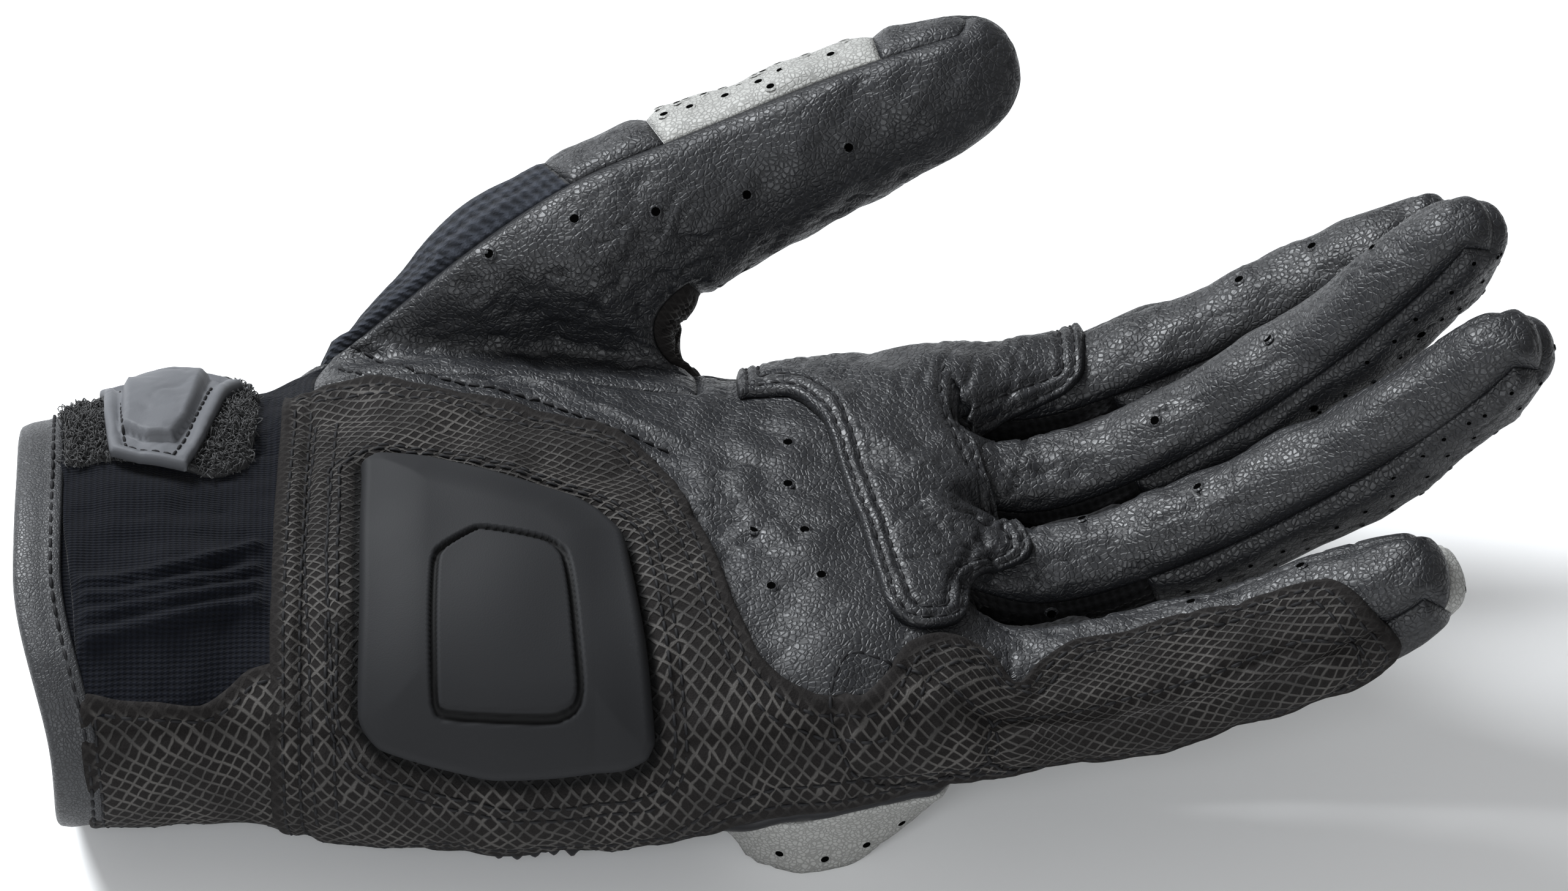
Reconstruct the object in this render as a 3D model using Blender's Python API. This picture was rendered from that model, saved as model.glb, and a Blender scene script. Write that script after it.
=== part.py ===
"""Left-hand short motorcycle glove lying on its back: palm up, fingers along +X, thumb towards +Y.

All lengths are metres and all angles degrees. One smooth hand form carries every piece: a coarse cage of
rings (cuff, palm, four fingers, thumb) that a Subdivision Surface modifier rounds off. The sewn panels are
regions of that form given a leather's thickness inwards. What is stitched or moulded on top of them is a
patch with its own outline, laid on the form and given its thickness outwards.
"""

import math

import bpy
import numpy as np
from mathutils import Matrix, Vector
from mathutils.bvhtree import BVHTree
from mathutils.geometry import delaunay_2d_cdt
from mathutils.interpolate import poly_3d_calc

MM = 0.001

# Hand form: driving dimensions
CUFF_LENGTH = 39.5 * MM
CUFF_WIDTH = 82 * MM
CUFF_THICKNESS = 50 * MM
CUFF_SKEW = 7 * MM  # how much shorter the cuff is at the back of the little finger's side
PALM_LENGTH = 116 * MM
PALM_WIDTH = 94 * MM
PALM_THICKNESS = 50 * MM
WRIST_X = -84 * MM

# Walls and clearances
LEATHER = 1.2 * MM
KNIT = 1.0 * MM
TEXTILE = 1.4 * MM
OVERLAY = 1.1 * MM
SEAM_GAP = 0.3 * MM
CROTCH_GAP = 1.0 * MM
THIN_AT_BENDS = 0.4  # a wall is never thicker than this share of the radius that it bends round
THINNEST = 0.6 * MM  # what is left of a piece that the floor flattens
SEAM_TAPER = 0.4 * MM  # how much further the inner skin of a panel stands back from its seam
LAY_GAP = 0.45 * MM
SMOOTH_LEVELS = 1
FLOOR = 2.4 * MM  # height of the form's own lowest skin above the cage's zero, flattened there

# Pieces laid on the form
SLIDER_RIM = 2.4 * MM
SLIDER_CROWN = 1.4 * MM
SLIDER_GROOVE = 0.9 * MM
LOOP_PILE = 1.6 * MM
STRAP = 1.4 * MM
TAB = 1.8 * MM
TAB_PLATE = 1.2 * MM
BINDING = 1.1 * MM
BINDING_WIDTH = 6.2 * MM
GUARD_RIM = 1.8 * MM
GUARD_DOME = 12.5 * MM
GUARD_SLOPE = 8 * MM
GUARD_FALL = (0.74, 0.20, 0.75)  # station where the dome begins to fall, over how much, and by what share
RIB_BLOCK = 2.2 * MM
RIB_RISE = 1.2 * MM
FOLD_RISE = 1.8 * MM
PAD_RISE = 1.8 * MM

# Columns: station along the cuff or palm, centre across and centre height, width and thickness, and how
# far the two edges cup upwards, all as shares of the named sizes; then the squareness of the outline.
CUFF_SECTIONS = (
    # station, across, height, width, thickness, cup, squareness
    (0.00, -0.100, 0.54, 0.94, 0.90, 0.0, 2.3),
    (0.24, -0.075, 0.54, 0.98, 0.92, 0.0, 2.3),
    (0.62, -0.045, 0.54, 1.02, 0.96, 0.0, 2.3),
    (0.93, -0.040, 0.52, 0.99, 0.88, 0.0, 2.3),
)
PALM_SECTIONS = (
    # station, across, height, width, thickness, cup, squareness
    (0.04, -0.010, 0.51, 1.00, 0.96, 0.00, 2.3),
    (0.22, -0.020, 0.54, 1.03, 1.02, 0.00, 2.4),
    (0.42, -0.030, 0.53, 1.05, 0.98, 0.00, 2.4),
    (0.60, -0.048, 0.55, 0.98, 0.84, 0.02, 2.4),
    (0.79, -0.034, 0.56, 0.96, 0.82, 0.08, 2.4),
    (0.97, 0.015, 0.56, 0.97, 0.76, 0.12, 2.4),
)
COLUMN_ACROSS = (0.93, 0.70, 0.47, 0.255, 0.04, -0.165, -0.37, -0.65, -0.93)
SKEW_FROM, SKEW_OVER = 0.18, 0.73  # where round the cuff it grows short, as shares of its half size
THUMB_FROM, THUMB_TO = 4, 7  # the rings between which the thumb leaves the palm

FINGERS = {
    # name: length, width, thickness, yaw, pitch at root, middle and tip, roll
    "index": (92 * MM, 20.5 * MM, 21.5 * MM, 13, (7, 21, 32), 4),
    "middle": (110 * MM, 20 * MM, 24 * MM, 10, (9, 36, 54), 9),
    "ring": (113 * MM, 20 * MM, 25.5 * MM, 8, (7, 30, 49), 15),
    "little": (86.5 * MM, 23 * MM, 26 * MM, 4.5, (0, 18, 35), 16),
}
FINGER_SECTIONS = (
    # station, width, thickness
    (0.10, 1.00, 1.00),
    (0.28, 1.02, 1.02),
    (0.48, 1.00, 1.00),
    (0.68, 0.97, 0.97),
    (0.85, 0.92, 0.92),
    (0.96, 0.72, 0.72),
)
FINGER_ANGLES = (150, 90, 30, -5, -40, -90, -140, 185)
GUSSET_SECTIONS = 2  # the first sections between two fingers are knitted mesh, the rest leather

THUMB_LENGTH = 119.5 * MM
THUMB_WIDTH = 30 * MM
THUMB_THICKNESS = 26 * MM
THUMB_ROOT = (0.19, 0.436, 0.72)  # shares of the palm's length from the wrist, width and thickness
THUMB_SECTIONS = (
    # station, path yaw, path pitch, section yaw, section pitch, width, thickness
    (0.215, 28, 21, 63, 40, 1.58, 1.34),
    (0.370, 27, 25, 36, 30, 1.24, 1.18),
    (0.460, 17, 14, 29, 26, 1.11, 1.06),
    (0.665, 19, 16, 15, 15, 0.97, 0.97),
    (0.765, 14, 18, 14, 14, 0.92, 0.92),
    (0.925, 14, 19, 13, 13, 0.70, 0.68),
)
THUMB_ROLL = 45
THUMB_ANGLES = (180, 128, 98, 66, 32, 0, -35, -70, -110, -145)
THUMB_OUTER = ("thumb_rib", "thumb_rib", "thumb_band", "thumb_back", "thumb_back", "thumb_cap")
THUMB_INNER = (
    # panel of the column on the palm's side, panel of the column below it
    ("thumb_crotch", "thumb_crotch"),
    ("thumb_crotch", "thumb_crotch"),
    ("thumb_front", "thumb_side"),
    ("thumb_front", "thumb_side"),
    ("thumb_front", "thumb_side"),
    ("thumb_front", "thumb_cap"),
)


def ease(share):
    share = np.clip(share, 0, 1)
    return share * share * (3 - 2 * share)


class Cage:
    """Control points and four-sided faces. Each face keeps the name of the panel it belongs to."""

    def __init__(self):
        self.points = []
        self.faces = []
        self.panels = []

    def add(self, points):
        first = len(self.points)
        self.points.extend(tuple(p) for p in points)
        return list(range(first, len(self.points)))

    def face(self, corners, panel):
        self.faces.append(tuple(corners))
        self.panels.append(panel)

    def bridge(self, near, far, panels):
        """Quads between two closed rings of the same count; panels names each column, or None for no face."""
        count = len(near)
        for k, panel in enumerate(panels):
            after = (k + 1) % count
            if panel:
                self.face((near[k], near[after], far[after], far[k]), panel)


def hand_ring(x, y, z, half_width, half_thickness, cup, squareness, skew=0.0):
    """Twenty control points of one hand section: nine over the palm, one at each side, nine under the back."""
    over, under = [], []
    for across in COLUMN_ACROSS:
        rise = half_thickness * (1 - abs(across) ** squareness) ** (1 / squareness)
        over.append((across, rise))
        under.append((across, -rise))
    ring = []
    for across, rise in over + [(-1, 0)] + under[::-1] + [(1, 0)]:
        lean = (half_width * across + rise) / (half_width + half_thickness)
        place = x + skew * ease((SKEW_FROM - lean) / SKEW_OVER)
        ring.append((place, y + half_width * across, z + cup * across**2 + rise))
    return ring


def tube_ring(centre, direction, roll, half_width, half_thickness, angles):
    """A ring across a finger or the thumb, whose palmar side faces up, rolled towards the little finger."""
    r = math.radians(roll)
    facing = Vector((0, -math.sin(r), math.cos(r)))
    normal = (facing - direction * facing.dot(direction)).normalized()
    side = direction.cross(normal)
    turns = [math.radians(a) for a in angles]
    return [
        centre + side * (half_width * math.cos(a)) + normal * (half_thickness * math.sin(a))
        for a in turns
    ]


def heading(yaw, pitch):
    y, p = math.radians(yaw), math.radians(pitch)
    return Vector((math.cos(y) * math.cos(p), math.sin(y) * math.cos(p), math.sin(p)))


def finger_line(start, length, yaw, pitches, steps=50):
    """Centreline of a finger: (station, point, heading) rows, found by walking along its changing pitch."""
    rows = [(0.0, start.copy(), heading(yaw, pitches[0]))]
    point = start.copy()
    for i in range(steps):
        share = (i + 0.5) / steps
        pitch = float(np.interp(share, (0.0, 0.5, 1.0), pitches))
        point = point + heading(yaw, pitch) * (length / steps)
        rows.append(((i + 1) / steps, point.copy(), heading(yaw, pitch)))
    return rows


def on_line(rows, station):
    i = min(int(round(station * (len(rows) - 1))), len(rows) - 1)
    return rows[i][1], rows[i][2]


def hand_rings(cage):
    rings = []
    for sections, start, length, width, thickness, skew in (
        (CUFF_SECTIONS, WRIST_X - CUFF_LENGTH, CUFF_LENGTH, CUFF_WIDTH, CUFF_THICKNESS, CUFF_SKEW),
        (PALM_SECTIONS, WRIST_X, PALM_LENGTH, PALM_WIDTH, PALM_THICKNESS, 0.0),
    ):
        for station, across, height, wide, thick, cup, square in sections:
            ring = hand_ring(
                start + length * station,
                width * across,
                thickness * height,
                width * wide / 2,
                thickness * thick / 2,
                thickness * cup,
                square,
                skew * (1 - station),
            )
            rings.append(cage.add(ring))
    return rings


def add_palm(cage, rings):
    count = len(rings[0])
    over = len(COLUMN_ACROSS) - 1
    for i in range(len(rings) - 1):
        cuff = i < len(CUFF_SECTIONS)
        panels = ["cuff_elastic" if cuff else "palm_leather"] * over
        panels += ["cuff_back" if cuff else "hand_back"] * (count - over)
        if THUMB_FROM <= i < THUMB_TO:
            panels[-2:] = [None, None]
            panels[0] = "thumb_front"
        cage.bridge(rings[i], rings[i + 1], panels)


def add_thumb(cage, rings):
    """The thumb grows out of the opening that the palm leaves on the index side."""
    side, under = len(rings[0]) - 1, len(rings[0]) - 2
    near = [rings[THUMB_FROM][side]]
    near += [rings[i][0] for i in range(THUMB_FROM, THUMB_TO + 1)]
    near += [rings[THUMB_TO][side]]
    near += [rings[i][under] for i in range(THUMB_TO, THUMB_FROM - 1, -1)]
    along, across, height = THUMB_ROOT
    centre = Vector((station(along), PALM_WIDTH * across, PALM_THICKNESS * height))
    before = 0.0
    for i, row in enumerate(THUMB_SECTIONS):
        share, yaw, pitch, ring_yaw, ring_pitch, width, thick = row
        centre = centre + heading(yaw, pitch) * (THUMB_LENGTH * (share - before))
        before = share
        far = cage.add(
            tube_ring(
                centre,
                heading(ring_yaw, ring_pitch),
                THUMB_ROLL,
                THUMB_WIDTH * width / 2,
                THUMB_THICKNESS * thick / 2,
                THUMB_ANGLES,
            )
        )
        outer = THUMB_OUTER[i]
        edge, inner = THUMB_INNER[min(i, len(THUMB_INNER) - 1)]
        panels = [outer] + ["thumb_front"] * 3 + [edge, inner] + [outer] * 4
        cage.bridge(near, far, panels)
        near = far
    tip = centre + heading(yaw, pitch) * (THUMB_LENGTH * (1 - before))
    left, right = cage.add([(tip * 2 + Vector(cage.points[near[k]])) / 3 for k in (0, 5)])
    r = near
    for corners, panel in (
        ((r[1], r[2], left, r[0]), "thumb_front"),
        ((r[2], r[3], right, left), "thumb_front"),
        ((r[3], r[4], r[5], right), "thumb_front"),
        ((r[0], left, r[8], r[9]), "thumb_cap"),
        ((left, right, r[7], r[8]), "thumb_cap"),
        ((right, r[5], r[6], r[7]), "thumb_cap"),
    ):
        cage.face(corners, panel)


def add_fingers(cage, rings):
    """Each finger takes two columns of the last palm ring; neighbours share the web between them."""
    end, columns = rings[-1], len(COLUMN_ACROSS)
    over = end[:columns]
    under = end[columns + 1 : -1][::-1]
    webs = [end[-1]]
    for f in range(1, len(FINGERS)):
        pair = [Vector(cage.points[i]) for i in (over[2 * f], under[2 * f])]
        webs += cage.add([(pair[0] + pair[1]) / 2])
    webs.append(end[columns])
    names = list(FINGERS)
    lines = {}
    for f, (name, spec) in enumerate(FINGERS.items()):
        length, width, thick, yaw, pitches, roll = spec
        near = [over[2 * f], over[2 * f + 1], over[2 * f + 2], webs[f + 1]]
        near += [under[2 * f + 2], under[2 * f + 1], under[2 * f], webs[f]]
        root = sum((Vector(cage.points[i]) for i in near), Vector()) / len(near)
        lines[name] = finger_line(root, length, yaw, pitches)
        for i, (station, wide, deep) in enumerate(FINGER_SECTIONS):
            centre, direction = on_line(lines[name], station)
            far = cage.add(
                tube_ring(centre, direction, roll, width * wide / 2, thick * deep / 2, FINGER_ANGLES)
            )
            knit = i < GUSSET_SECTIONS
            ulnar = f"gusset_{name}" if knit and f < len(names) - 1 else f"{name}_ulnar"
            radial = f"gusset_{names[f - 1]}" if knit and f > 0 else f"{name}_radial"
            panels = ["palm_leather"] * 2 + [ulnar] * 2 + [f"{name}_back"] * 2 + [radial] * 2
            cage.bridge(near, far, panels)
            near = far
        tip = cage.add([lines[name][-1][1]])[0]
        cage.face((near[0], near[1], tip, near[7]), "palm_leather")
        cage.face((near[1], near[2], near[3], tip), "palm_leather")
        cage.face((near[3], near[4], near[5], tip), f"{name}_back")
        cage.face((tip, near[5], near[6], near[7]), f"{name}_back")
    return lines


def smooth_form(levels):
    """The rounded hand form as arrays: points, normals, faces, and the panel name of each face."""
    cage = Cage()
    rings = hand_rings(cage)
    add_palm(cage, rings)
    add_thumb(cage, rings)
    lines = add_fingers(cage, rings)
    mesh = bpy.data.meshes.new("hand_form")
    mesh.from_pydata(cage.points, [], cage.faces)
    names = sorted(set(cage.panels))
    mark = mesh.attributes.new("panel", "INT", "FACE")
    mark.data.foreach_set("value", [names.index(p) for p in cage.panels])
    form = bpy.data.objects.new("hand_form", mesh)
    bpy.context.scene.collection.objects.link(form)
    smooth = form.modifiers.new("smooth", "SUBSURF")
    smooth.levels = smooth.render_levels = levels
    graph = bpy.context.evaluated_depsgraph_get()
    fine = bpy.data.meshes.new_from_object(form.evaluated_get(graph))
    bpy.data.objects.remove(form)
    points = np.array([v.co for v in fine.vertices])
    normals = np.array([v.normal for v in fine.vertices])
    faces = [tuple(p.vertices) for p in fine.polygons]
    marks = [names[d.value] for d in fine.attributes["panel"].data]
    return points, normals, faces, marks, lines


class Skin:
    """A surface that something else is laid on: its search tree, and spots spread over it."""

    def __init__(self, points, triangles):
        self.tree = BVHTree.FromPolygons(points, triangles)
        self.samples = []
        for t in triangles:
            a, b, c = (points[k] for k in t)
            way = (b - a).cross(c - a).normalized()
            self.samples += [(spot, way) for spot in (a, (a + b) / 2, (b + c) / 2, (a + b + c) / 3)]


class Form:
    """The smooth form as triangles, with a search tree that finds where a line from outside first meets it."""

    def __init__(self, levels):
        self.points, self.normals, quads, marks, self.lines = smooth_form(levels)
        self.points[:, 2] = np.maximum(self.points[:, 2], FLOOR)
        self.triangles, self.marks = [], []
        for quad, mark in zip(quads, marks):
            self.triangles += [(quad[0], quad[1], quad[2]), (quad[0], quad[2], quad[3])]
            self.marks += [mark, mark]
        self.bend = self.tightest_bends()
        self.skin = Skin([Vector(p) for p in self.points], self.triangles)
        self.tree = self.skin.tree

    def tightest_bends(self):
        """The sharpest outward bend at each point, as one over its radius."""
        corners = np.array(self.triangles)
        bend = np.zeros(len(self.points))
        for a, b in ((corners[:, k], corners[:, (k + 1) % 3]) for k in range(3)):
            way = self.points[b] - self.points[a]
            turn = np.sum((self.normals[b] - self.normals[a]) * way, 1) / np.sum(way * way, 1)
            np.maximum.at(bend, a, turn)
            np.maximum.at(bend, b, turn)
        return bend

    def seen_from(self, origin, direction):
        """First point of the form met by a line, and the smooth outward direction there."""
        hit, _, index, _ = self.tree.ray_cast(Vector(origin), Vector(direction))
        if hit is None:
            return None, None
        corners = [Vector(self.points[i]) for i in self.triangles[index]]
        shares = poly_3d_calc(corners, hit)
        normal = sum((Vector(self.normals[i]) * w for i, w in zip(self.triangles[index], shares)), Vector())
        return hit, normal.normalized()


class Wrap:
    """A flat sheet rolled round a bent axis: (x, distance round the axis) on the sheet, metres.

    Angle 0 faces up (the palm) and grows towards the little finger. The distance round is the angle times
    the axis radius at that x, so the sheet keeps the size of what is drawn on it.
    """

    def __init__(self, rows, reach):
        self.rows = np.array(rows)
        self.reach = reach

    def axis(self, x):
        return [float(np.interp(x, self.rows[:, 0], self.rows[:, k])) for k in (1, 2, 3)]

    def flat(self, x, degrees):
        return x, math.radians(degrees) * self.axis(x)[2]

    def place(self, form, spot):
        x, across = spot
        y, z, radius = self.axis(x)
        angle = across / radius
        out = Vector((0, -math.sin(angle), math.cos(angle)))
        start = float(np.interp(x, *self.reach))
        hit, normal = form.seen_from(Vector((x, y, z)) + out * start, -out)
        if hit is None:
            hit, normal, _, _ = form.tree.find_nearest(Vector((x, y, z)) + out * radius)
        return hit, normal


# The axis of the hand, and the one that bends into the little finger. Stations are measured from WRIST_X, as
# shares of CUFF_LENGTH below 0 and of PALM_LENGTH above it. Across is a share of PALM_WIDTH, height and
# radius are shares of PALM_THICKNESS.
HAND_AXIS = (
    # station, across, height, radius
    (-1.32, -0.04, 0.54, 0.72),
    (0.00, -0.02, 0.54, 0.72),
    (0.46, -0.02, 0.54, 0.76),
    (0.81, -0.06, 0.54, 0.76),
    (1.40, -0.06, 0.60, 0.76),
)
REACH = ((0.70, 0.585), (1.0, 0.72))  # station, how far out the lines start, as a share of PALM_WIDTH
LITTLE_FROM = 1.03
NARROWING = ((0.0, 0.84), (0.81, 0.62), (1.03, 0.50), (1.6, 0.30))  # station, radius on the bent axis

# Outlines: (station along the cuff or palm, degrees from straight up towards the little finger)
HEEL_OUTLINE = (
    (0.018, -50), (0.036, -55), (0.08, -57), (0.147, -56), (0.23, -51), (0.30, -46), (0.388, -41),
    (0.476, -36), (0.528, -29), (0.572, -14), (0.608, 10), (0.638, 32), (0.655, 44), (0.688, 57),
    (0.722, 62), (0.774, 65), (0.834, 64), (0.866, 57), (0.893, 45), (0.939, 33), (0.991, 24),
    (1.025, 26), (1.05, 34), (1.078, 20), (1.13, 6), (1.216, 4), (1.315, 3), (1.381, 4), (1.485, 9),
    (1.527, 33), (1.582, 96), (1.55, 122), (1.40, 128), (1.20, 126), (1.08, 118), (1.00, 100),
    (0.90, 96), (0.66, 96), (0.59, 104), (0.50, 109), (0.25, 109), (0.018, 109),
)
SLIDER_OUTLINE = (
    (0.128, -3), (0.137, -14), (0.16, -19.5), (0.191, -21), (0.221, -19), (0.335, -11), (0.423, 0),
    (0.476, 11), (0.507, 24), (0.524, 38), (0.538, 53), (0.548, 64), (0.554, 71), (0.548, 76),
    (0.524, 80), (0.467, 82), (0.366, 84), (0.278, 84), (0.195, 81), (0.151, 78), (0.131, 73),
)
SLIDER_GROOVE_LINE = (
    (0.24, 39), (0.252, 34), (0.296, 28), (0.313, 28), (0.388, 32), (0.41, 36), (0.419, 43),
    (0.439, 66), (0.432, 70), (0.406, 71.5), (0.348, 71.5), (0.256, 71), (0.241, 68),
)
KNUCKLE_OUTLINE = (
    (0.657, -57), (0.717, -57), (0.757, -55), (0.784, -48), (0.808, -26), (0.832, 7),
    (0.852, 29), (0.864, 43), (0.884, 47), (0.931, 47), (0.971, 46), (0.982, 42), (0.98, 33),
    (0.985, 24), (1.0, 12), (1.0, 0), (1.0, -15), (0.985, -28), (0.985, -40), (0.97, -49),
    (0.943, -56), (0.955, -62), (1.00, -67), (1.09, -71), (1.13, -73), (1.135, -79), (1.11, -84),
    (0.92, -86), (0.68, -84), (0.657, -76),
)
ELASTIC_OUTLINE = (
    (-0.834, -17), (-0.719, -17), (-0.441, -16), (-0.25, -9), (-0.117, -14), (-0.0793, 31),
    (-0.0411, 47), (-0.0352, 61), (-0.0705, 65.5), (-0.255, 65), (-0.435, 66), (-0.714, 65.5), (-0.758, 45),
    (-0.799, 10),
)
CUFF_TEXTILE_OUTLINE = (
    (-0.69, 69), (-0.435, 69.5), (-0.255, 69), (-0.0646, 70.5), (-0.0147, 70), (-0.0147, 112),
    (-0.587, 112), (-0.623, 90),
)
LOOP_OUTLINE = (
    (-0.834, -62), (-0.834, -22), (-0.681, -21), (-0.455, -20), (-0.25, -14), (-0.132, -18),
    (-0.0734, -22), (-0.0587, -58), (-0.147, -74), (-0.705, -74),
)
TAB_OUTLINE = (
    (-0.693, -60), (-0.681, -29), (-0.617, -19.5), (-0.479, -14), (-0.341, -18), (-0.294, -28),
    (-0.194, -56), (-0.153, -66), (-0.47, -68), (-0.67, -67),
)
TAB_PLATE_OUTLINE = (
    (-0.599, -60), (-0.599, -36), (-0.49, -26), (-0.42, -27), (-0.279, -60),
)
STRAP_OUTLINE = (
    (-0.67, -72), (-0.176, -70), (-0.103, -90), (-0.103, -150), (-0.117, -190), (-0.617, -190),
    (-0.652, -150), (-0.67, -90),
)
GUARD_OUTLINE = (
    (0.61, 112), (0.68, 103), (0.84, 99), (0.95, 102), (0.97, 112), (0.97, 150), (0.965, 190),
    (0.95, 225), (0.93, 238), (0.80, 246), (0.67, 240), (0.615, 222), (0.60, 190), (0.60, 150),
)
RIB_OUTLINE = ((0.31, 113), (0.44, 113), (0.44, 125), (0.31, 125))

# Raised and sunk lines: start, end, half width of the flat middle and reach of the slope (metres)
ELASTIC_FOLDS = (
    ((-0.822, 40), (-0.0881, 30), 0.0, 2.4 * MM),
    ((-0.793, 50), (-0.0587, 40), 0.0, 2.4 * MM),
    ((-0.764, 58), (-0.294, 53), 0.0, 2.4 * MM),
)
HEEL_PADS = (
    ((0.86, 71), (0.95, 72), 3.0 * MM, 8.5 * MM),
    ((1.09, 84), (1.44, 82), 4.0 * MM, 10.0 * MM),
)

# Colours as linear red, green and blue, with roughness and metallic
BLACK_LEATHER = ((0.024, 0.024, 0.026), 0.46, 0.0)
CUFF_LEATHER = ((0.045, 0.046, 0.049), 0.48, 0.0)
GREY_LEATHER = ((0.42, 0.42, 0.41), 0.55, 0.0)
HEEL_TEXTILE = ((0.030, 0.027, 0.026), 0.8, 0.0)
BLACK_KNIT = ((0.010, 0.011, 0.015), 0.95, 0.0)
LOOP_BLACK = ((0.008, 0.008, 0.009), 0.95, 0.0)
SLIDER_RUBBER = ((0.052, 0.054, 0.060), 0.5, 0.0)
TAB_RUBBER = ((0.085, 0.088, 0.095), 0.5, 0.0)
BLACK_RUBBER = ((0.014, 0.014, 0.015), 0.5, 0.0)


def finish(name, look):
    colour, rough, metal = look
    material = bpy.data.materials.new(name)
    material.use_nodes = True
    bsdf = material.node_tree.nodes["Principled BSDF"]
    bsdf.inputs["Base Color"].default_value = (*colour, 1)
    bsdf.inputs["Roughness"].default_value = rough
    bsdf.inputs["Metallic"].default_value = metal
    material.diffuse_color = (*colour, 1)
    return material


def make_piece(name, points, triangles, look, smooth=True):
    mesh = bpy.data.meshes.new(name)
    mesh.from_pydata([tuple(p) for p in points], [], triangles)
    mesh.update()
    if smooth:
        mesh.shade_smooth()
    piece = bpy.data.objects.new(name, mesh)
    bpy.context.scene.collection.objects.link(piece)
    piece.data.materials.append(finish(name, look))
    return piece


def close_walls(outer, inner, rims):
    """Triangles that join the two skins of a sheet along its border edges (start, end seen from outside)."""
    walls = []
    for a, b in rims:
        walls += [(outer[a], inner[a], inner[b]), (outer[a], inner[b], outer[b])]
    return walls


def border_edges(triangles):
    """Directed edges that only one triangle has."""
    seen = {(t[k], t[(k + 1) % 3]) for t in triangles for k in range(3)}
    return [(a, b) for a, b in seen if (b, a) not in seen]


def retract(points, normals, triangles, rims, gap):
    """Border points pulled back into the sheet by half the seam gap, mitred at the corners."""
    inward = {}
    for t in triangles:
        for k in range(3):
            a, b, c = t[k], t[(k + 1) % 3], t[(k + 2) % 3]
            if (a, b) in rims:
                along = (points[b] - points[a]).normalized()
                into = (points[c] - points[a]) - along * (points[c] - points[a]).dot(along)
                inward.setdefault(a, []).append(into.normalized())
                inward.setdefault(b, []).append(into.normalized())
    moved = dict(points)
    for v, ways in inward.items():
        if len(ways) == 2:
            shift = (ways[0] + ways[1]) / max(1 + ways[0].dot(ways[1]), 0.15)
        else:
            shift = sum(ways, Vector()) / len(ways)
        shift = shift - normals[v] * shift.dot(normals[v])
        moved[v] = points[v] + shift * (gap / 2)
    return moved


def make_shell(form, name, panels, thickness, gap, look):
    """One sewn panel: the form's own skin over the named faces, with its thickness inwards."""
    triangles = [t for t, m in zip(form.triangles, form.marks) if m in panels]
    used = sorted({i for t in triangles for i in t})
    points = {i: Vector(form.points[i]) for i in used}
    normals = {i: Vector(form.normals[i]).normalized() for i in used}
    rims = set(border_edges(triangles))
    under = retract(points, normals, triangles, rims, gap + 2 * SEAM_TAPER)
    points = retract(points, normals, triangles, rims, gap)
    place = {v: k for k, v in enumerate(used)}
    outer = {v: place[v] for v in used}
    inner = {v: place[v] + len(used) for v in used}
    walls = {v: min(thickness, THIN_AT_BENDS / max(form.bend[v], 1)) for v in used}
    spots = [points[v] for v in used] + [under[v] - normals[v] * walls[v] for v in used]
    solid = [tuple(outer[v] for v in t) for t in triangles]
    solid += [tuple(inner[v] for v in t[::-1]) for t in triangles]
    return make_piece(name, spots, solid + close_walls(outer, inner, rims), look)


def station(share):
    """Distance along the hand: below 0 a share of the cuff's length, above 0 one of the palm's."""
    return WRIST_X + (CUFF_LENGTH if share < 0 else PALM_LENGTH) * share


CORNER_PULL = 0.28  # how round an outline runs through its corners; 0.5 is the roundest


def resample(corners, spacing):
    """A smooth closed line through the corners (Hermite curves), cut into even steps."""
    fine = []
    count = len(corners)
    for i in range(count):
        a, b, c, d = (np.array(corners[(i + k) % count]) for k in (-1, 0, 1, 2))
        for t in np.linspace(0, 1, 8, endpoint=False):
            leave, arrive = (c - a) * CORNER_PULL, (d - b) * CORNER_PULL
            share = t * t * (3 - 2 * t)
            fine.append(b + (c - b) * share + leave * t * (1 - t) ** 2 - arrive * t**2 * (1 - t))
    fine = np.array(fine + fine[:1])
    run = np.concatenate([[0], np.cumsum(np.linalg.norm(np.diff(fine, axis=0), axis=1))])
    marks = np.linspace(0, run[-1], max(int(round(run[-1] / spacing)), 6), endpoint=False)
    return np.stack([np.interp(marks, run, fine[:, k]) for k in (0, 1)], 1)


def inset(outline, distance):
    """The outline moved inwards, point by point; the outline runs anticlockwise."""
    before, after = np.roll(outline, 1, axis=0), np.roll(outline, -1, axis=0)
    along = after - before
    along /= np.linalg.norm(along, axis=1)[:, None]
    return outline + np.stack([-along[:, 1], along[:, 0]], 1) * distance


def segment_distance(spots, start, end):
    start, end = np.array(start), np.array(end)
    way = end - start
    share = np.clip((spots - start) @ way / max(way @ way, 1e-12), 0, 1)
    return np.linalg.norm(spots - start - share[:, None] * way, axis=1)


def line_distance(spots, line, closed=True):
    ends = list(zip(line, np.roll(line, -1, axis=0) if closed else line[1:]))
    return np.min([segment_distance(spots, a, b) for a, b in ends], axis=0)


def inside(spots, outline):
    """Which spots lie inside the outline, by counting the edges crossed on the way out."""
    crossings = np.zeros(len(spots), int)
    for a, b in zip(outline, np.roll(outline, -1, axis=0)):
        spans = (a[1] > spots[:, 1]) != (b[1] > spots[:, 1])
        reach = a[0] + (spots[:, 1] - a[1]) * (b[0] - a[0]) / (b[1] - a[1] + 1e-15)
        crossings += spans & (spots[:, 0] < reach)
    return crossings % 2 == 1


def anticlockwise(outline):
    x, y = outline[:, 0], outline[:, 1]
    area = np.sum(x * np.roll(y, -1) - np.roll(x, -1) * y)
    return outline if area > 0 else outline[::-1]


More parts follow.
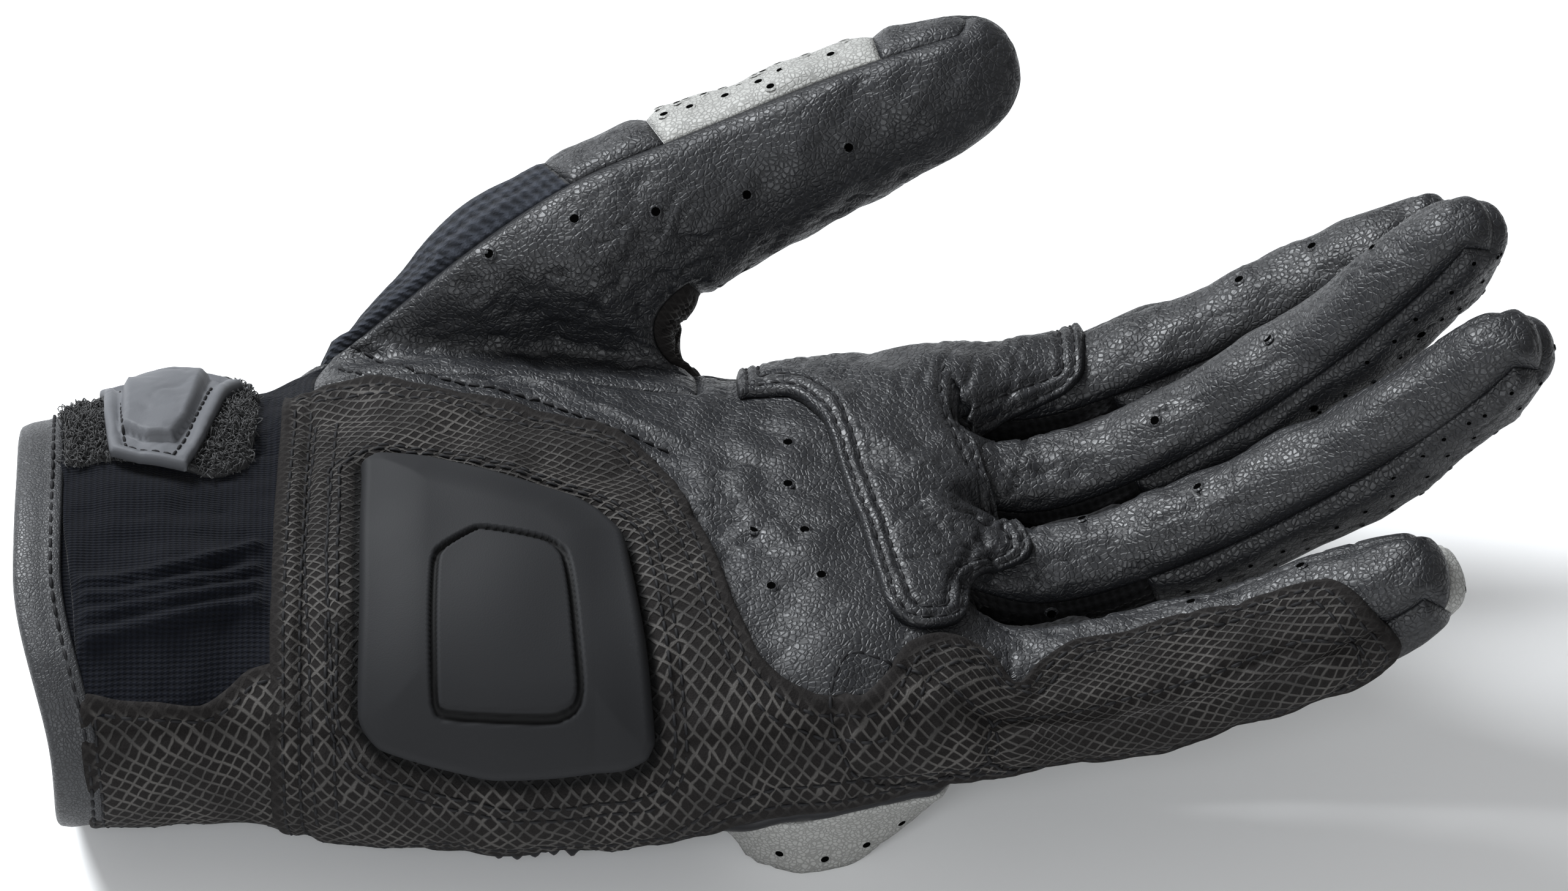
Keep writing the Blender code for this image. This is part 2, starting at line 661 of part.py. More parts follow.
def mesh_outline(outline, spacing, bevel):
    """Flat triangles inside an outline, with one row of points just inside its edge for the bevel."""
    rows = [outline, inset(outline, bevel)]
    low, high = outline.min(0), outline.max(0)
    step = spacing * math.sqrt(3) / 2
    grid = []
    for j, v in enumerate(np.arange(low[1], high[1], step)):
        for u in np.arange(low[0] + (j % 2) * spacing / 2, high[0], spacing):
            grid.append((u, v))
    grid = np.array(grid)
    keep = inside(grid, outline) & (line_distance(grid, outline) > bevel + 0.55 * spacing)
    spots = np.concatenate(rows + [grid[keep]])
    count = len(outline)
    ring = list(range(count))
    result = delaunay_2d_cdt([Vector(p) for p in spots], [], [ring], 1, 1e-7)
    spots = np.array([tuple(p) for p in result[0]])
    return spots, [tuple(t) for t in result[2]], count


def clear_of(skin, low, high, triangles, gap):
    """Lifts a laid sheet where its flat facets would come nearer to what it lies on than the gap."""
    box = [(min(p[k] for p in low) - 0.004, max(p[k] for p in low) + 0.004) for k in range(3)]
    samples = [s for s in skin.samples if all(lo < s[0][k] < hi for k, (lo, hi) in enumerate(box))]
    for _ in range(6):
        lift = [0.0] * len(low)
        for t in triangles:
            a, b, c = (low[k] for k in t)
            for spot in ((a + b) / 2, (b + c) / 2, (c + a) / 2, (a + b + c) / 3, a):
                near, normal, _, distance = skin.tree.find_nearest(spot, 0.004)
                if near is None:
                    continue
                height = distance if (spot - near).dot(normal) > 0 else -distance
                for k in t:
                    lift[k] = max(lift[k], gap - height)
        sheet = BVHTree.FromPolygons(low, triangles)
        for spot, normal in samples:
            hit, _, index, distance = sheet.ray_cast(spot - normal * 0.003, normal, 0.003 + gap)
            if hit is not None:
                for k in triangles[index]:
                    lift[k] = max(lift[k], gap + 0.003 - distance)
        if max(lift) < 1e-5:
            break
        for k, rise in enumerate(lift):
            way = (high[k] - low[k]).normalized()
            low[k] = low[k] + way * rise
            high[k] = high[k] + way * rise
    return low, high


def make_patch(form, wrap, name, outline, look, spacing, base, height, bevel=1.0 * MM, over=(), floor=None):
    """A piece with its own outline laid on the form and on the skins in over.

    base is its clearance from the form and height(spots, edge) its thickness; edge is the distance from
    its outline. Returns the object and its outer skin.
    """
    corners = anticlockwise(np.array([wrap.flat(station(x), a) for x, a in outline]))
    edge_line = resample(corners, spacing)
    spots, triangles, _ = mesh_outline(edge_line, spacing, bevel)
    edge = line_distance(spots, edge_line)
    tall = height(spots, edge) * (0.6 + 0.4 * ease(edge / bevel))
    lift = base(spots) if callable(base) else np.full(len(spots), base)
    low, high = [], []
    for spot, rise, start in zip(spots, tall, lift):
        hit, normal = wrap.place(form, spot)
        low.append(hit + normal * float(start))
        high.append(hit + normal * float(start + rise))
    facing = 0.0
    for a, b, c in triangles:
        facing += (high[a] - low[a]).dot((low[b] - low[a]).cross(low[c] - low[a]))
    if facing < 0:
        triangles = [t[::-1] for t in triangles]
    for skin in (form.skin, *over):
        low, high = clear_of(skin, low, high, triangles, LAY_GAP - 0.1 * MM)
    for k, (under, outer) in enumerate(zip(low, high)):
        if floor is not None and outer.z < floor:
            high[k] = Vector((outer.x, outer.y, floor))
            low[k] = Vector((under.x, under.y, max(under.z, floor + THINNEST)))
    rims = border_edges(triangles)
    count = len(spots)
    solid = [tuple(t) for t in triangles] + [tuple(k + count for k in t[::-1]) for t in triangles]
    outer = list(range(count))
    inner = [k + count for k in range(count)]
    piece = make_piece(name, high + low, solid + close_walls(outer, inner, rims), look)
    return piece, Skin(high, [tuple(t) for t in triangles])


def swell(wrap, spots, lines):
    """Share from 0 to 1 of how far each spot lies on one of the raised or sunk lines."""
    share = np.zeros(len(spots))
    for start, end, flat, reach in lines:
        ends = [wrap.flat(station(x), a) for x, a in (start, end)]
        distance = segment_distance(spots, *ends)
        share = np.maximum(share, ease((reach - distance) / (reach - flat)))
    return share


def opening_loop(form):
    """Border points of the form in order, with the way into the glove and the way out of its skin at each."""
    rims = border_edges(form.triangles)
    after = dict(rims)
    order = [rims[0][0]]
    while after[order[-1]] != order[0]:
        order.append(after[order[-1]])
    ways = {v: Vector() for v in order}
    for t in form.triangles:
        for k in range(3):
            a, b, c = t[k], t[(k + 1) % 3], t[(k + 2) % 3]
            if after.get(a) == b:
                p, q, r = (Vector(form.points[i]) for i in (a, b, c))
                along = (q - p).normalized()
                into = ((r - p) - along * (r - p).dot(along)).normalized()
                ways[a] += into
                ways[b] += into
    points = [Vector(form.points[v]) for v in order]
    return points, [ways[v].normalized() for v in order], [Vector(form.normals[v]) for v in order]


def make_binding(form):
    """Leather folded over the raw edge of the opening: a U carried round it."""
    gap, wall, fold, width = LAY_GAP, LEATHER, BINDING, BINDING_WIDTH
    middle = -wall / 2
    profile = (
        (width, gap), (width, gap + fold * 0.7), (width * 0.6, gap + fold), (0, gap + fold),
        (-gap - fold * 0.8, gap), (-gap - fold, middle), (-gap - fold * 0.8, -wall - gap),
        (0, -wall - gap - fold), (width * 0.8, -wall - gap - fold * 0.8), (width * 0.8, -wall - gap),
        (0, -wall - gap), (-gap, middle), (0, gap),
    )
    points, ways, normals = opening_loop(form)
    spots, triangles, size = [], [], len(profile)
    for p, into, out in zip(points, ways, normals):
        out = (out - into * out.dot(into)).normalized()
        spots += [p + into * s + out * h for s, h in profile]
    for i in range(len(points)):
        j = (i + 1) % len(points)
        for k in range(size):
            n = (k + 1) % size
            a, b, c, d = i * size + k, i * size + n, j * size + n, j * size + k
            triangles += [(a, b, c), (a, c, d)]
    return make_piece("cuff_binding", spots, triangles, CUFF_LEATHER)


def even(thickness):
    return lambda spots, edge: np.full(len(spots), thickness)


def little_axis(form):
    """The hand axis as far as the knuckles, then the little finger's own line; the radius narrows evenly."""
    rows = [row[:3] for row in hand_axis() if row[0] < station(LITTLE_FROM) - 0.02]
    rows += [tuple(point) for _, point, _ in form.lines["little"] if point.x > station(LITTLE_FROM)]
    shares, radii = zip(*NARROWING)
    marks = [station(share) for share in shares]
    return [(x, y, z, PALM_THICKNESS * float(np.interp(x, marks, radii))) for x, y, z in rows]


def hand_axis():
    return [
        (station(x), PALM_WIDTH * across, PALM_THICKNESS * height, PALM_THICKNESS * radius)
        for x, across, height, radius in HAND_AXIS
    ]


SHELLS = (
    # name, panels of the form, thickness, gap at its seams, look
    ("palm_leather", ("palm_leather",), LEATHER, SEAM_GAP, BLACK_LEATHER),
    ("hand_back", ("hand_back",), LEATHER, SEAM_GAP, BLACK_LEATHER),
    ("cuff_front", ("cuff_elastic",), LEATHER, SEAM_GAP, BLACK_KNIT),
    ("cuff_back", ("cuff_back",), LEATHER, SEAM_GAP, BLACK_LEATHER),
    ("gusset_index_middle", ("gusset_index",), KNIT, SEAM_GAP, BLACK_KNIT),
    ("gusset_middle_ring", ("gusset_middle",), KNIT, SEAM_GAP, BLACK_KNIT),
    ("gusset_ring_little", ("gusset_ring",), KNIT, SEAM_GAP, BLACK_KNIT),
    ("index_outer_side", ("index_radial",), LEATHER, SEAM_GAP, BLACK_LEATHER),
    ("index_inner_side", ("index_ulnar",), LEATHER, SEAM_GAP, BLACK_LEATHER),
    ("middle_outer_side", ("middle_radial",), LEATHER, SEAM_GAP, BLACK_LEATHER),
    ("middle_inner_side", ("middle_ulnar",), LEATHER, SEAM_GAP, BLACK_LEATHER),
    ("ring_outer_side", ("ring_radial",), LEATHER, SEAM_GAP, BLACK_LEATHER),
    ("ring_inner_side", ("ring_ulnar",), LEATHER, SEAM_GAP, BLACK_LEATHER),
    ("little_outer_side", ("little_radial",), LEATHER, SEAM_GAP, BLACK_LEATHER),
    ("little_inner_side", ("little_ulnar",), LEATHER, SEAM_GAP, BLACK_LEATHER),
    ("index_back", ("index_back",), LEATHER, SEAM_GAP, GREY_LEATHER),
    ("middle_back", ("middle_back",), LEATHER, SEAM_GAP, GREY_LEATHER),
    ("ring_back", ("ring_back",), LEATHER, SEAM_GAP, GREY_LEATHER),
    ("little_back", ("little_back",), LEATHER, SEAM_GAP, GREY_LEATHER),
    ("thumb_front", ("thumb_front",), LEATHER, SEAM_GAP, BLACK_LEATHER),
    ("thumb_rib_insert", ("thumb_rib",), LEATHER, SEAM_GAP, BLACK_KNIT),
    ("thumb_joint_band", ("thumb_band",), LEATHER, SEAM_GAP, BLACK_LEATHER),
    ("thumb_back", ("thumb_back",), LEATHER, SEAM_GAP, GREY_LEATHER),
    ("thumb_tip_cap", ("thumb_cap",), LEATHER, SEAM_GAP, BLACK_LEATHER),
    ("thumb_side", ("thumb_side",), LEATHER, SEAM_GAP, BLACK_LEATHER),
    ("thumb_crotch", ("thumb_crotch",), LEATHER, CROTCH_GAP, HEEL_TEXTILE),
)


def make_heel(form, wrap):
    def height(spots, edge):
        return TEXTILE + PAD_RISE * swell(wrap, spots, HEEL_PADS)

    return make_patch(form, wrap, "heel_panel", HEEL_OUTLINE, HEEL_TEXTILE, 5.8 * MM, LAY_GAP, height)


def make_slider(form, wrap, heel_skin):
    groove = np.array([wrap.flat(station(x), a) for x, a in SLIDER_GROOVE_LINE])

    def height(spots, edge):
        crown = SLIDER_CROWN * ease(edge / (9 * MM))
        sunk = SLIDER_GROOVE * (line_distance(spots, groove) < 1.2 * MM)
        return SLIDER_RIM + crown - sunk

    base = LAY_GAP + TEXTILE + SEAM_GAP
    return make_patch(
        form, wrap, "palm_slider", SLIDER_OUTLINE, SLIDER_RUBBER, 5.0 * MM, base, height, 1.2 * MM, (heel_skin,)
    )


def make_elastic(form, wrap):
    def height(spots, edge):
        return KNIT + FOLD_RISE * swell(wrap, spots, ELASTIC_FOLDS) * ease(edge / (2 * MM))

    return make_patch(form, wrap, "wrist_elastic", ELASTIC_OUTLINE, BLACK_KNIT, 3.2 * MM, LAY_GAP, height)


def make_tab(form, wrap, loop_skin):
    plate = anticlockwise(np.array([wrap.flat(station(x), a) for x, a in TAB_PLATE_OUTLINE]))

    def height(spots, edge):
        depth = np.where(inside(spots, plate), line_distance(spots, plate), 0)
        return TAB + TAB_PLATE * ease(depth / (2 * MM))

    base = LAY_GAP + LOOP_PILE + SEAM_GAP
    return make_patch(
        form, wrap, "strap_tab", TAB_OUTLINE, TAB_RUBBER, 3.2 * MM, base, height, 1.0 * MM, (loop_skin,)
    )


def make_strap(form, wrap, loop_skin):
    high = LAY_GAP + LOOP_PILE + SEAM_GAP
    turn = [wrap.flat(station(-0.3), a)[1] for a in (-78, -98)]

    def base(spots):
        share = ease((spots[:, 1] - turn[0]) / (turn[1] - turn[0]))
        return high + (LAY_GAP - high) * share

    return make_patch(
        form, wrap, "wrist_strap", STRAP_OUTLINE, CUFF_LEATHER, 6.0 * MM, base, even(STRAP),
        over=(loop_skin,), floor=FLOOR,
    )


def make_guard(form, wrap):
    """Rubber rim and the padded leather dome over the knuckles, flattened where the glove rests on it."""
    rim, rim_skin = make_patch(
        form, wrap, "knuckle_guard_rim", GUARD_OUTLINE, BLACK_RUBBER, 7.0 * MM, LAY_GAP, even(GUARD_RIM)
    )
    centre = np.mean([wrap.flat(station(x), a) for x, a in GUARD_OUTLINE], axis=0)
    smaller = []
    for x, a in GUARD_OUTLINE:
        u, v = wrap.flat(station(x), a)
        shrink = 1 - 3.5 * MM / np.linalg.norm(np.array((u, v)) - centre)
        u, v = centre + (np.array((u, v)) - centre) * shrink
        smaller.append(((u - WRIST_X) / PALM_LENGTH, math.degrees(v / wrap.axis(u)[2])))

    def height(spots, edge):
        fall = ease((spots[:, 0] - station(GUARD_FALL[0])) / (PALM_LENGTH * GUARD_FALL[1]))
        return 1.2 * MM + GUARD_DOME * (1 - GUARD_FALL[2] * fall) * ease(edge / GUARD_SLOPE)

    base = LAY_GAP + GUARD_RIM + SEAM_GAP
    return make_patch(
        form, wrap, "knuckle_guard_cover", smaller, GREY_LEATHER, 5.0 * MM, base, height, 1.5 * MM,
        (rim_skin,), FLOOR,
    )


def make_rib_block(form, wrap):
    lines = [((0.325 + 0.025 * k, 113), (0.325 + 0.025 * k, 125), 0.3 * MM, 1.3 * MM) for k in range(5)]

    def height(spots, edge):
        return RIB_BLOCK + RIB_RISE * swell(wrap, spots, lines)

    return make_patch(
        form, wrap, "ribbed_block", RIB_OUTLINE, BLACK_RUBBER, 2.4 * MM, LAY_GAP, height, floor=FLOOR
    )


def rest_on_floor(pieces):
    """Moves the whole glove so that the middle of its box stands over the origin, with its lowest point at 0."""
    spots = np.array([v.co for piece in pieces for v in piece.data.vertices])
    low, high = spots.min(0), spots.max(0)
    shift = Vector((-(low[0] + high[0]) / 2, -(low[1] + high[1]) / 2, -low[2]))
    for piece in pieces:
        piece.data.transform(Matrix.Translation(shift))
    return shift


def build():
    for old in list(bpy.data.objects):
        bpy.data.objects.remove(old)
    form = Form(SMOOTH_LEVELS)
    reach = [station(share) for share, _ in REACH], [PALM_WIDTH * far for _, far in REACH]
    hand = Wrap(hand_axis(), reach)
    heel = Wrap(little_axis(form), reach)
    for name, panels, thickness, gap, look in SHELLS:
        make_shell(form, name, panels, thickness, gap, look)
    _, heel_skin = make_heel(form, heel)
    make_slider(form, hand, heel_skin)
    make_patch(
        form, hand, "knuckle_overlay", KNUCKLE_OUTLINE, BLACK_LEATHER, 6.0 * MM, LAY_GAP, even(OVERLAY)
    )
    make_elastic(form, hand)
    make_patch(
        form, hand, "cuff_textile", CUFF_TEXTILE_OUTLINE, HEEL_TEXTILE, 6.0 * MM, LAY_GAP, even(TEXTILE)
    )
    _, loop_skin = make_patch(
        form, hand, "loop_patch", LOOP_OUTLINE, LOOP_BLACK, 6.0 * MM, LAY_GAP, even(LOOP_PILE)
    )
    make_tab(form, hand, loop_skin)
    make_strap(form, hand, loop_skin)
    make_guard(form, hand)
    make_rib_block(form, hand)
    make_binding(form)
    return rest_on_floor(list(bpy.data.objects))


SHIFT = build()
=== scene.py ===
# %% [markdown]
# # A left-hand motorcycle glove, palm up
# The glove is sewn from leather, knit and an abrasion textile over the shape of a hand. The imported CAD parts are
# loaded as a fixed frame. Each of them is then replaced by a finer piece that lies in the same place.

# %% The frame
import math

import bpy
import numpy as np
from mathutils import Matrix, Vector
from mathutils.bvhtree import BVHTree
from mathutils.geometry import delaunay_2d_cdt


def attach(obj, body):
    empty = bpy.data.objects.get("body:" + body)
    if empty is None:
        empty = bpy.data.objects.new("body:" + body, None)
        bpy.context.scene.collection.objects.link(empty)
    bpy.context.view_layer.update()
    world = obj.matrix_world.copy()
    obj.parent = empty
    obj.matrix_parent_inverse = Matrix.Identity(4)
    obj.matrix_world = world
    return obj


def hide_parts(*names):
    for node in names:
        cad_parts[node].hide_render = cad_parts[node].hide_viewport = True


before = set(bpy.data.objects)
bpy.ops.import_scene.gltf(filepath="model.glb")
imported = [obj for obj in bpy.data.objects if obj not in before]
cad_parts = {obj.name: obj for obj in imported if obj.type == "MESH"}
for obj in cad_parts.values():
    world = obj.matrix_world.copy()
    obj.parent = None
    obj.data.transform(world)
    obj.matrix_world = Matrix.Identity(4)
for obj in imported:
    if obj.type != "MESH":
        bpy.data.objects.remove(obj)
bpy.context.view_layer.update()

MM = 0.001

# %% [markdown]
# ## The hand inside the glove
# A worn glove takes the hand's shape, so one smooth form carries every panel. It is built as a coarse cage:
# rings of control points across the cuff, palm, fingers and thumb, bridged by four-sided faces. A sculpted
# mesh would also do, but a cage keeps every size as a number and rounds off evenly under subdivision.

# %% Sizes of the hand, the same as the CAD part's
CUFF_LENGTH, CUFF_WIDTH, CUFF_THICKNESS, CUFF_SKEW = 39.5 * MM, 82 * MM, 50 * MM, 7 * MM
PALM_LENGTH, PALM_WIDTH, PALM_THICKNESS = 116 * MM, 94 * MM, 50 * MM
WRIST_X = -84 * MM
FORM_TO_FRAME = np.array((-0.0444, -15.9114, -2.3854)) * MM
FLOOR = 2.4 * MM
CUFF_SECTIONS = (
    # station, across, height, width, thickness, cup, squareness
    (0.00, -0.100, 0.54, 0.94, 0.90, 0.0, 2.3),
    (0.24, -0.075, 0.54, 0.98, 0.92, 0.0, 2.3),
    (0.62, -0.045, 0.54, 1.02, 0.96, 0.0, 2.3),
    (0.93, -0.040, 0.52, 0.99, 0.88, 0.0, 2.3),
)
PALM_SECTIONS = (
    # station, across, height, width, thickness, cup, squareness
    (0.04, -0.010, 0.51, 1.00, 0.96, 0.00, 2.3),
    (0.22, -0.020, 0.54, 1.03, 1.02, 0.00, 2.4),
    (0.42, -0.030, 0.53, 1.05, 0.98, 0.00, 2.4),
    (0.60, -0.048, 0.55, 0.98, 0.84, 0.02, 2.4),
    (0.79, -0.034, 0.56, 0.96, 0.82, 0.08, 2.4),
    (0.97, 0.015, 0.56, 0.97, 0.76, 0.12, 2.4),
)
COLUMN_ACROSS = np.array((0.93, 0.70, 0.47, 0.255, 0.04, -0.165, -0.37, -0.65, -0.93))
THUMB_FROM, THUMB_TO = 4, 7
FINGERS = {
    # name: length, width, thickness, yaw, pitch at root, middle and tip, roll
    "index": (92 * MM, 20.5 * MM, 21.5 * MM, 13, (7, 21, 32), 4),
    "middle": (110 * MM, 20 * MM, 24 * MM, 10, (9, 36, 54), 9),
    "ring": (113 * MM, 20 * MM, 25.5 * MM, 8, (7, 30, 49), 15),
    "little": (86.5 * MM, 23 * MM, 26 * MM, 4.5, (0, 18, 35), 16),
}
FINGER_SECTIONS = (
    # station, width, thickness
    (0.10, 1.00, 1.00),
    (0.28, 1.02, 1.02),
    (0.48, 1.00, 1.00),
    (0.68, 0.97, 0.97),
    (0.85, 0.92, 0.92),
    (0.96, 0.72, 0.72),
)
FINGER_ANGLES = np.radians((150, 90, 30, -5, -40, -90, -140, 185))
GUSSET_SECTIONS = 2  # the webs between the fingers reach this many rings out
BACK_SECTIONS = 5  # and the grey backs this many, after which the tip is black
FINGER_STEPS = 50
THUMB_LENGTH, THUMB_WIDTH, THUMB_THICKNESS = 119.5 * MM, 30 * MM, 26 * MM
THUMB_ROOT = (0.19, 0.436, 0.72)
THUMB_SECTIONS = (
    # station, path yaw, path pitch, section yaw, section pitch, width, thickness
    (0.215, 28, 21, 63, 40, 1.58, 1.34),
    (0.370, 27, 25, 36, 30, 1.24, 1.18),
    (0.460, 17, 14, 29, 26, 1.11, 1.06),
    (0.665, 19, 16, 15, 15, 0.97, 0.97),
    (0.765, 14, 18, 14, 14, 0.92, 0.92),
    (0.925, 14, 19, 13, 13, 0.70, 0.68),
)
THUMB_ROLL = 45
THUMB_ANGLES = np.radians((180, 128, 98, 66, 32, 0, -35, -70, -110, -145))
THUMB_OUTER = ("thumb_rib", "thumb_rib", "thumb_band", "thumb_back", "thumb_back", "thumb_cap")
THUMB_INNER = (("thumb_crotch",) * 2, ("thumb_crotch",) * 2) + (("thumb_front", "thumb_side"),) * 3 + (
    ("thumb_front", "thumb_cap"),
)
print("glove of", round((CUFF_LENGTH + PALM_LENGTH + FINGERS["middle"][0]) / MM), "mm measured along its middle")

# %% Rings of control points
def ease(share):
    """Smooth step: 3t^2 - 2t^3 between 0 and 1."""
    share = np.clip(share, 0, 1)
    return share * share * (3 - 2 * share)


def unit(rows):
    return rows / np.maximum(np.linalg.norm(rows, axis=-1, keepdims=True), 1e-12)


def run_along(points):
    """Distance from the first point of a line to each of its points."""
    return np.concatenate([[0], np.cumsum(np.linalg.norm(np.diff(points, axis=0), axis=1))])


def at_marks(marks, run, rows):
    """The columns of a table read off at set distances along a line."""
    return np.stack([np.interp(marks, run, rows[:, k]) for k in range(rows.shape[1])], -1)


def looped(rows):
    """A line that ends where it starts."""
    return np.concatenate([rows, rows[:1]])


def above_floor(points):
    """The points, none of them below the plane that the glove rests on."""
    points[:, 2] = np.maximum(points[:, 2], FLOOR)
    return points


def station(share):
    """Distance along the hand: below 0 a share of the cuff's length, above 0 one of the palm's."""
    share = np.asarray(share, float)
    return WRIST_X + np.where(share < 0, CUFF_LENGTH, PALM_LENGTH) * share


def hand_ring(x, y, z, half_width, half_thickness, cup, squareness, skew):
    """A squared ellipse |a|^n + |b|^n = 1 at set places across, its edges lifted by cup times a^2."""
    a = np.concatenate([COLUMN_ACROSS, [-1], COLUMN_ACROSS[::-1], [1]])
    side = np.repeat((1, 0, -1, 0), (9, 1, 9, 1))
    rise = side * half_thickness * (1 - np.abs(a) ** squareness) ** (1 / squareness)
    lean = (half_width * a + rise) / (half_width + half_thickness)
    shear = skew * ease((0.18 - lean) / 0.73)
    bowl = np.where(side != 0, cup * a**2, 0)
    return np.stack([x + shear, y + half_width * a, z + bowl + rise], 1)


def tube_ring(centre, direction, roll, half_width, half_thickness, turns):
    """An ellipse across a finger, facing up and rolled towards the little finger."""
    r = math.radians(roll)
    facing = np.array((0, -math.sin(r), math.cos(r)))
    normal = unit(facing - direction * (facing @ direction))
    side = np.cross(direction, normal)
    return centre + np.outer(np.cos(turns) * half_width, side) + np.outer(np.sin(turns) * half_thickness, normal)


def heading(yaw, pitch):
    y, p = np.radians(yaw), np.radians(pitch)
    return np.stack([np.cos(y) * np.cos(p), np.sin(y) * np.cos(p), np.sin(p)], -1)


def finger_line(start, length, yaw, pitches):
    """The finger's middle line: the running sum of short steps whose pitch grows along it."""
    shares = (np.arange(FINGER_STEPS) + 0.5) / FINGER_STEPS
    ways = heading(np.full(FINGER_STEPS, float(yaw)), np.interp(shares, (0, 0.5, 1), pitches))
    points = start + np.concatenate([np.zeros((1, 3)), np.cumsum(ways, 0)]) * (length / FINGER_STEPS)
    return points, np.concatenate([heading(yaw, pitches[0])[None], ways])


# %% The cage
class Cage:
    """Control points and four-sided faces, each with its panel's name and its place on the unrolled panel."""

    def __init__(self):
        self.points, self.faces, self.panels, self.cloth = [], [], [], []

    def add(self, ring):
        first = len(self.points)
        self.points.extend(np.atleast_2d(ring).tolist())
        return list(range(first, len(self.points)))

    def face(self, corners, panel, cloth):
        self.faces.append(tuple(corners))
        self.panels.append(panel)
        self.cloth.append(cloth)

    def bridge(self, near, far, panels, start, end, around):
        count = len(near)
        for k, panel in enumerate(panels):
            n = (k + 1) % count
            if panel:
                place = ((start, around[k]), (start, around[k + 1]), (end, around[k + 1]), (end, around[k]))
                self.face((near[k], near[n], far[n], far[k]), panel, place)


cage = Cage()
rings, marks = [], []
for sections, start, length, width, thickness, skew in (
    (CUFF_SECTIONS, WRIST_X - CUFF_LENGTH, CUFF_LENGTH, CUFF_WIDTH, CUFF_THICKNESS, CUFF_SKEW),
    (PALM_SECTIONS, WRIST_X, PALM_LENGTH, PALM_WIDTH, PALM_THICKNESS, 0.0),
):
    for share, across, height, wide, thick, cup, square in sections:
        ring = hand_ring(start + length * share, width * across, thickness * height, width * wide / 2,
                         thickness * thick / 2, thickness * cup, square, skew * (1 - share))
        rings.append(cage.add(ring))
        marks.append(start + length * share)
around_hand = run_along(looped(ring))
for i in range(len(rings) - 1):
    cuff = i < len(CUFF_SECTIONS)
    panels = ["cuff_elastic" if cuff else "palm_leather"] * 8 + ["cuff_back" if cuff else "hand_back"] * 12
    if THUMB_FROM <= i < THUMB_TO:
        panels[-2:] = [None, None]
        panels[0] = "thumb_front"
    cage.bridge(rings[i], rings[i + 1], panels, marks[i], marks[i + 1], around_hand)
print("palm and cuff:", len(rings), "rings,", len(cage.faces), "faces")

# %% The thumb grows out of the hole in the index side
near = [rings[THUMB_FROM][19]] + [rings[i][0] for i in range(THUMB_FROM, THUMB_TO + 1)]
near += [rings[THUMB_TO][19]] + [rings[i][18] for i in range(THUMB_TO, THUMB_FROM - 1, -1)]
centre = np.array((station(THUMB_ROOT[0]), PALM_WIDTH * THUMB_ROOT[1], PALM_THICKNESS * THUMB_ROOT[2]))
before = 0.0
for i, (share, yaw, pitch, ring_yaw, ring_pitch, wide, thick) in enumerate(THUMB_SECTIONS):
    centre = centre + heading(yaw, pitch) * (THUMB_LENGTH * (share - before))
    ring = tube_ring(centre, heading(ring_yaw, ring_pitch), THUMB_ROLL, THUMB_WIDTH * wide / 2,
                     THUMB_THICKNESS * thick / 2, THUMB_ANGLES)
    far = cage.add(ring)
    edge, inner = THUMB_INNER[i]
    panels = [THUMB_OUTER[i]] + ["thumb_front"] * 3 + [edge, inner] + [THUMB_OUTER[i]] * 4
    cage.bridge(near, far, panels, THUMB_LENGTH * before, THUMB_LENGTH * share, run_along(looped(ring)))
    near, before = far, share
tip = centre + heading(yaw, pitch) * (THUMB_LENGTH * (1 - before))
left, right = cage.add((tip * 2 + np.array([cage.points[near[0]], cage.points[near[5]]])) / 3)
r = near
for corners, panel in (
    ((r[1], r[2], left, r[0]), "thumb_front"), ((r[2], r[3], right, left), "thumb_front"),
    ((r[3], r[4], r[5], right), "thumb_front"), ((r[0], left, r[8], r[9]), "thumb_cap"),
    ((left, right, r[7], r[8]), "thumb_cap"), ((right, r[5], r[6], r[7]), "thumb_cap"),
):
    cage.face(corners, panel, ((THUMB_LENGTH, 0), (THUMB_LENGTH, 0.01), (THUMB_LENGTH, 0.01), (THUMB_LENGTH, 0)))
print("thumb tip at", np.round((tip + FORM_TO_FRAME) / MM, 1), "mm")

# %% The fingers share the webs between them
over, under = rings[-1][:9], rings[-1][10:19][::-1]
webs = [rings[-1][19]]
for f in (1, 2, 3):
    webs += cage.add((np.array(cage.points[over[2 * f]]) + np.array(cage.points[under[2 * f]])) / 2)
webs.append(rings[-1][9])
names = list(FINGERS)
finger_lines = {}
for f, (name, (length, width, thick, yaw, pitches, roll)) in enumerate(FINGERS.items()):
    near = [over[2 * f], over[2 * f + 1], over[2 * f + 2], webs[f + 1]]
    near += [under[2 * f + 2], under[2 * f + 1], under[2 * f], webs[f]]
    root = np.mean([cage.points[i] for i in near], axis=0)
    line, ways = finger_lines[name] = finger_line(root, length, yaw, pitches)
    before = 0.0
    for i, (share, wide, deep) in enumerate(FINGER_SECTIONS):
        spot = int(round(share * FINGER_STEPS))
        ring = tube_ring(line[spot], ways[spot], roll, width * wide / 2, thick * deep / 2, FINGER_ANGLES)
        far = cage.add(ring)
        ulnar = f"gusset_{name}" if i < GUSSET_SECTIONS and f < 3 else f"{name}_ulnar"
        radial = f"gusset_{names[f - 1]}" if i < GUSSET_SECTIONS and f > 0 else f"{name}_radial"
        back = f"{name}_back" if i < BACK_SECTIONS or name == "little" else f"{name}_ulnar"
        panels = ["palm_leather"] * 2 + [ulnar] * 2 + [back] * 2 + [radial] * 2
        cage.bridge(near, far, panels, length * before, length * share, run_along(looped(ring)))
        near, before = far, share
    tip = cage.add(line[-1])[0]
    place = ((length * before, 0), (length * before, 0.01), (length, 0.01), (length, 0))
    for corners, panel in (
        ((near[0], near[1], tip, near[7]), "palm_leather"), ((near[1], near[2], near[3], tip), "palm_leather"),
        ((near[3], near[4], near[5], tip), back), ((tip, near[5], near[6], near[7]), back),
    ):
        cage.face(corners, panel, place)
print("cage:", len(cage.points), "points,", len(cage.faces), "faces")

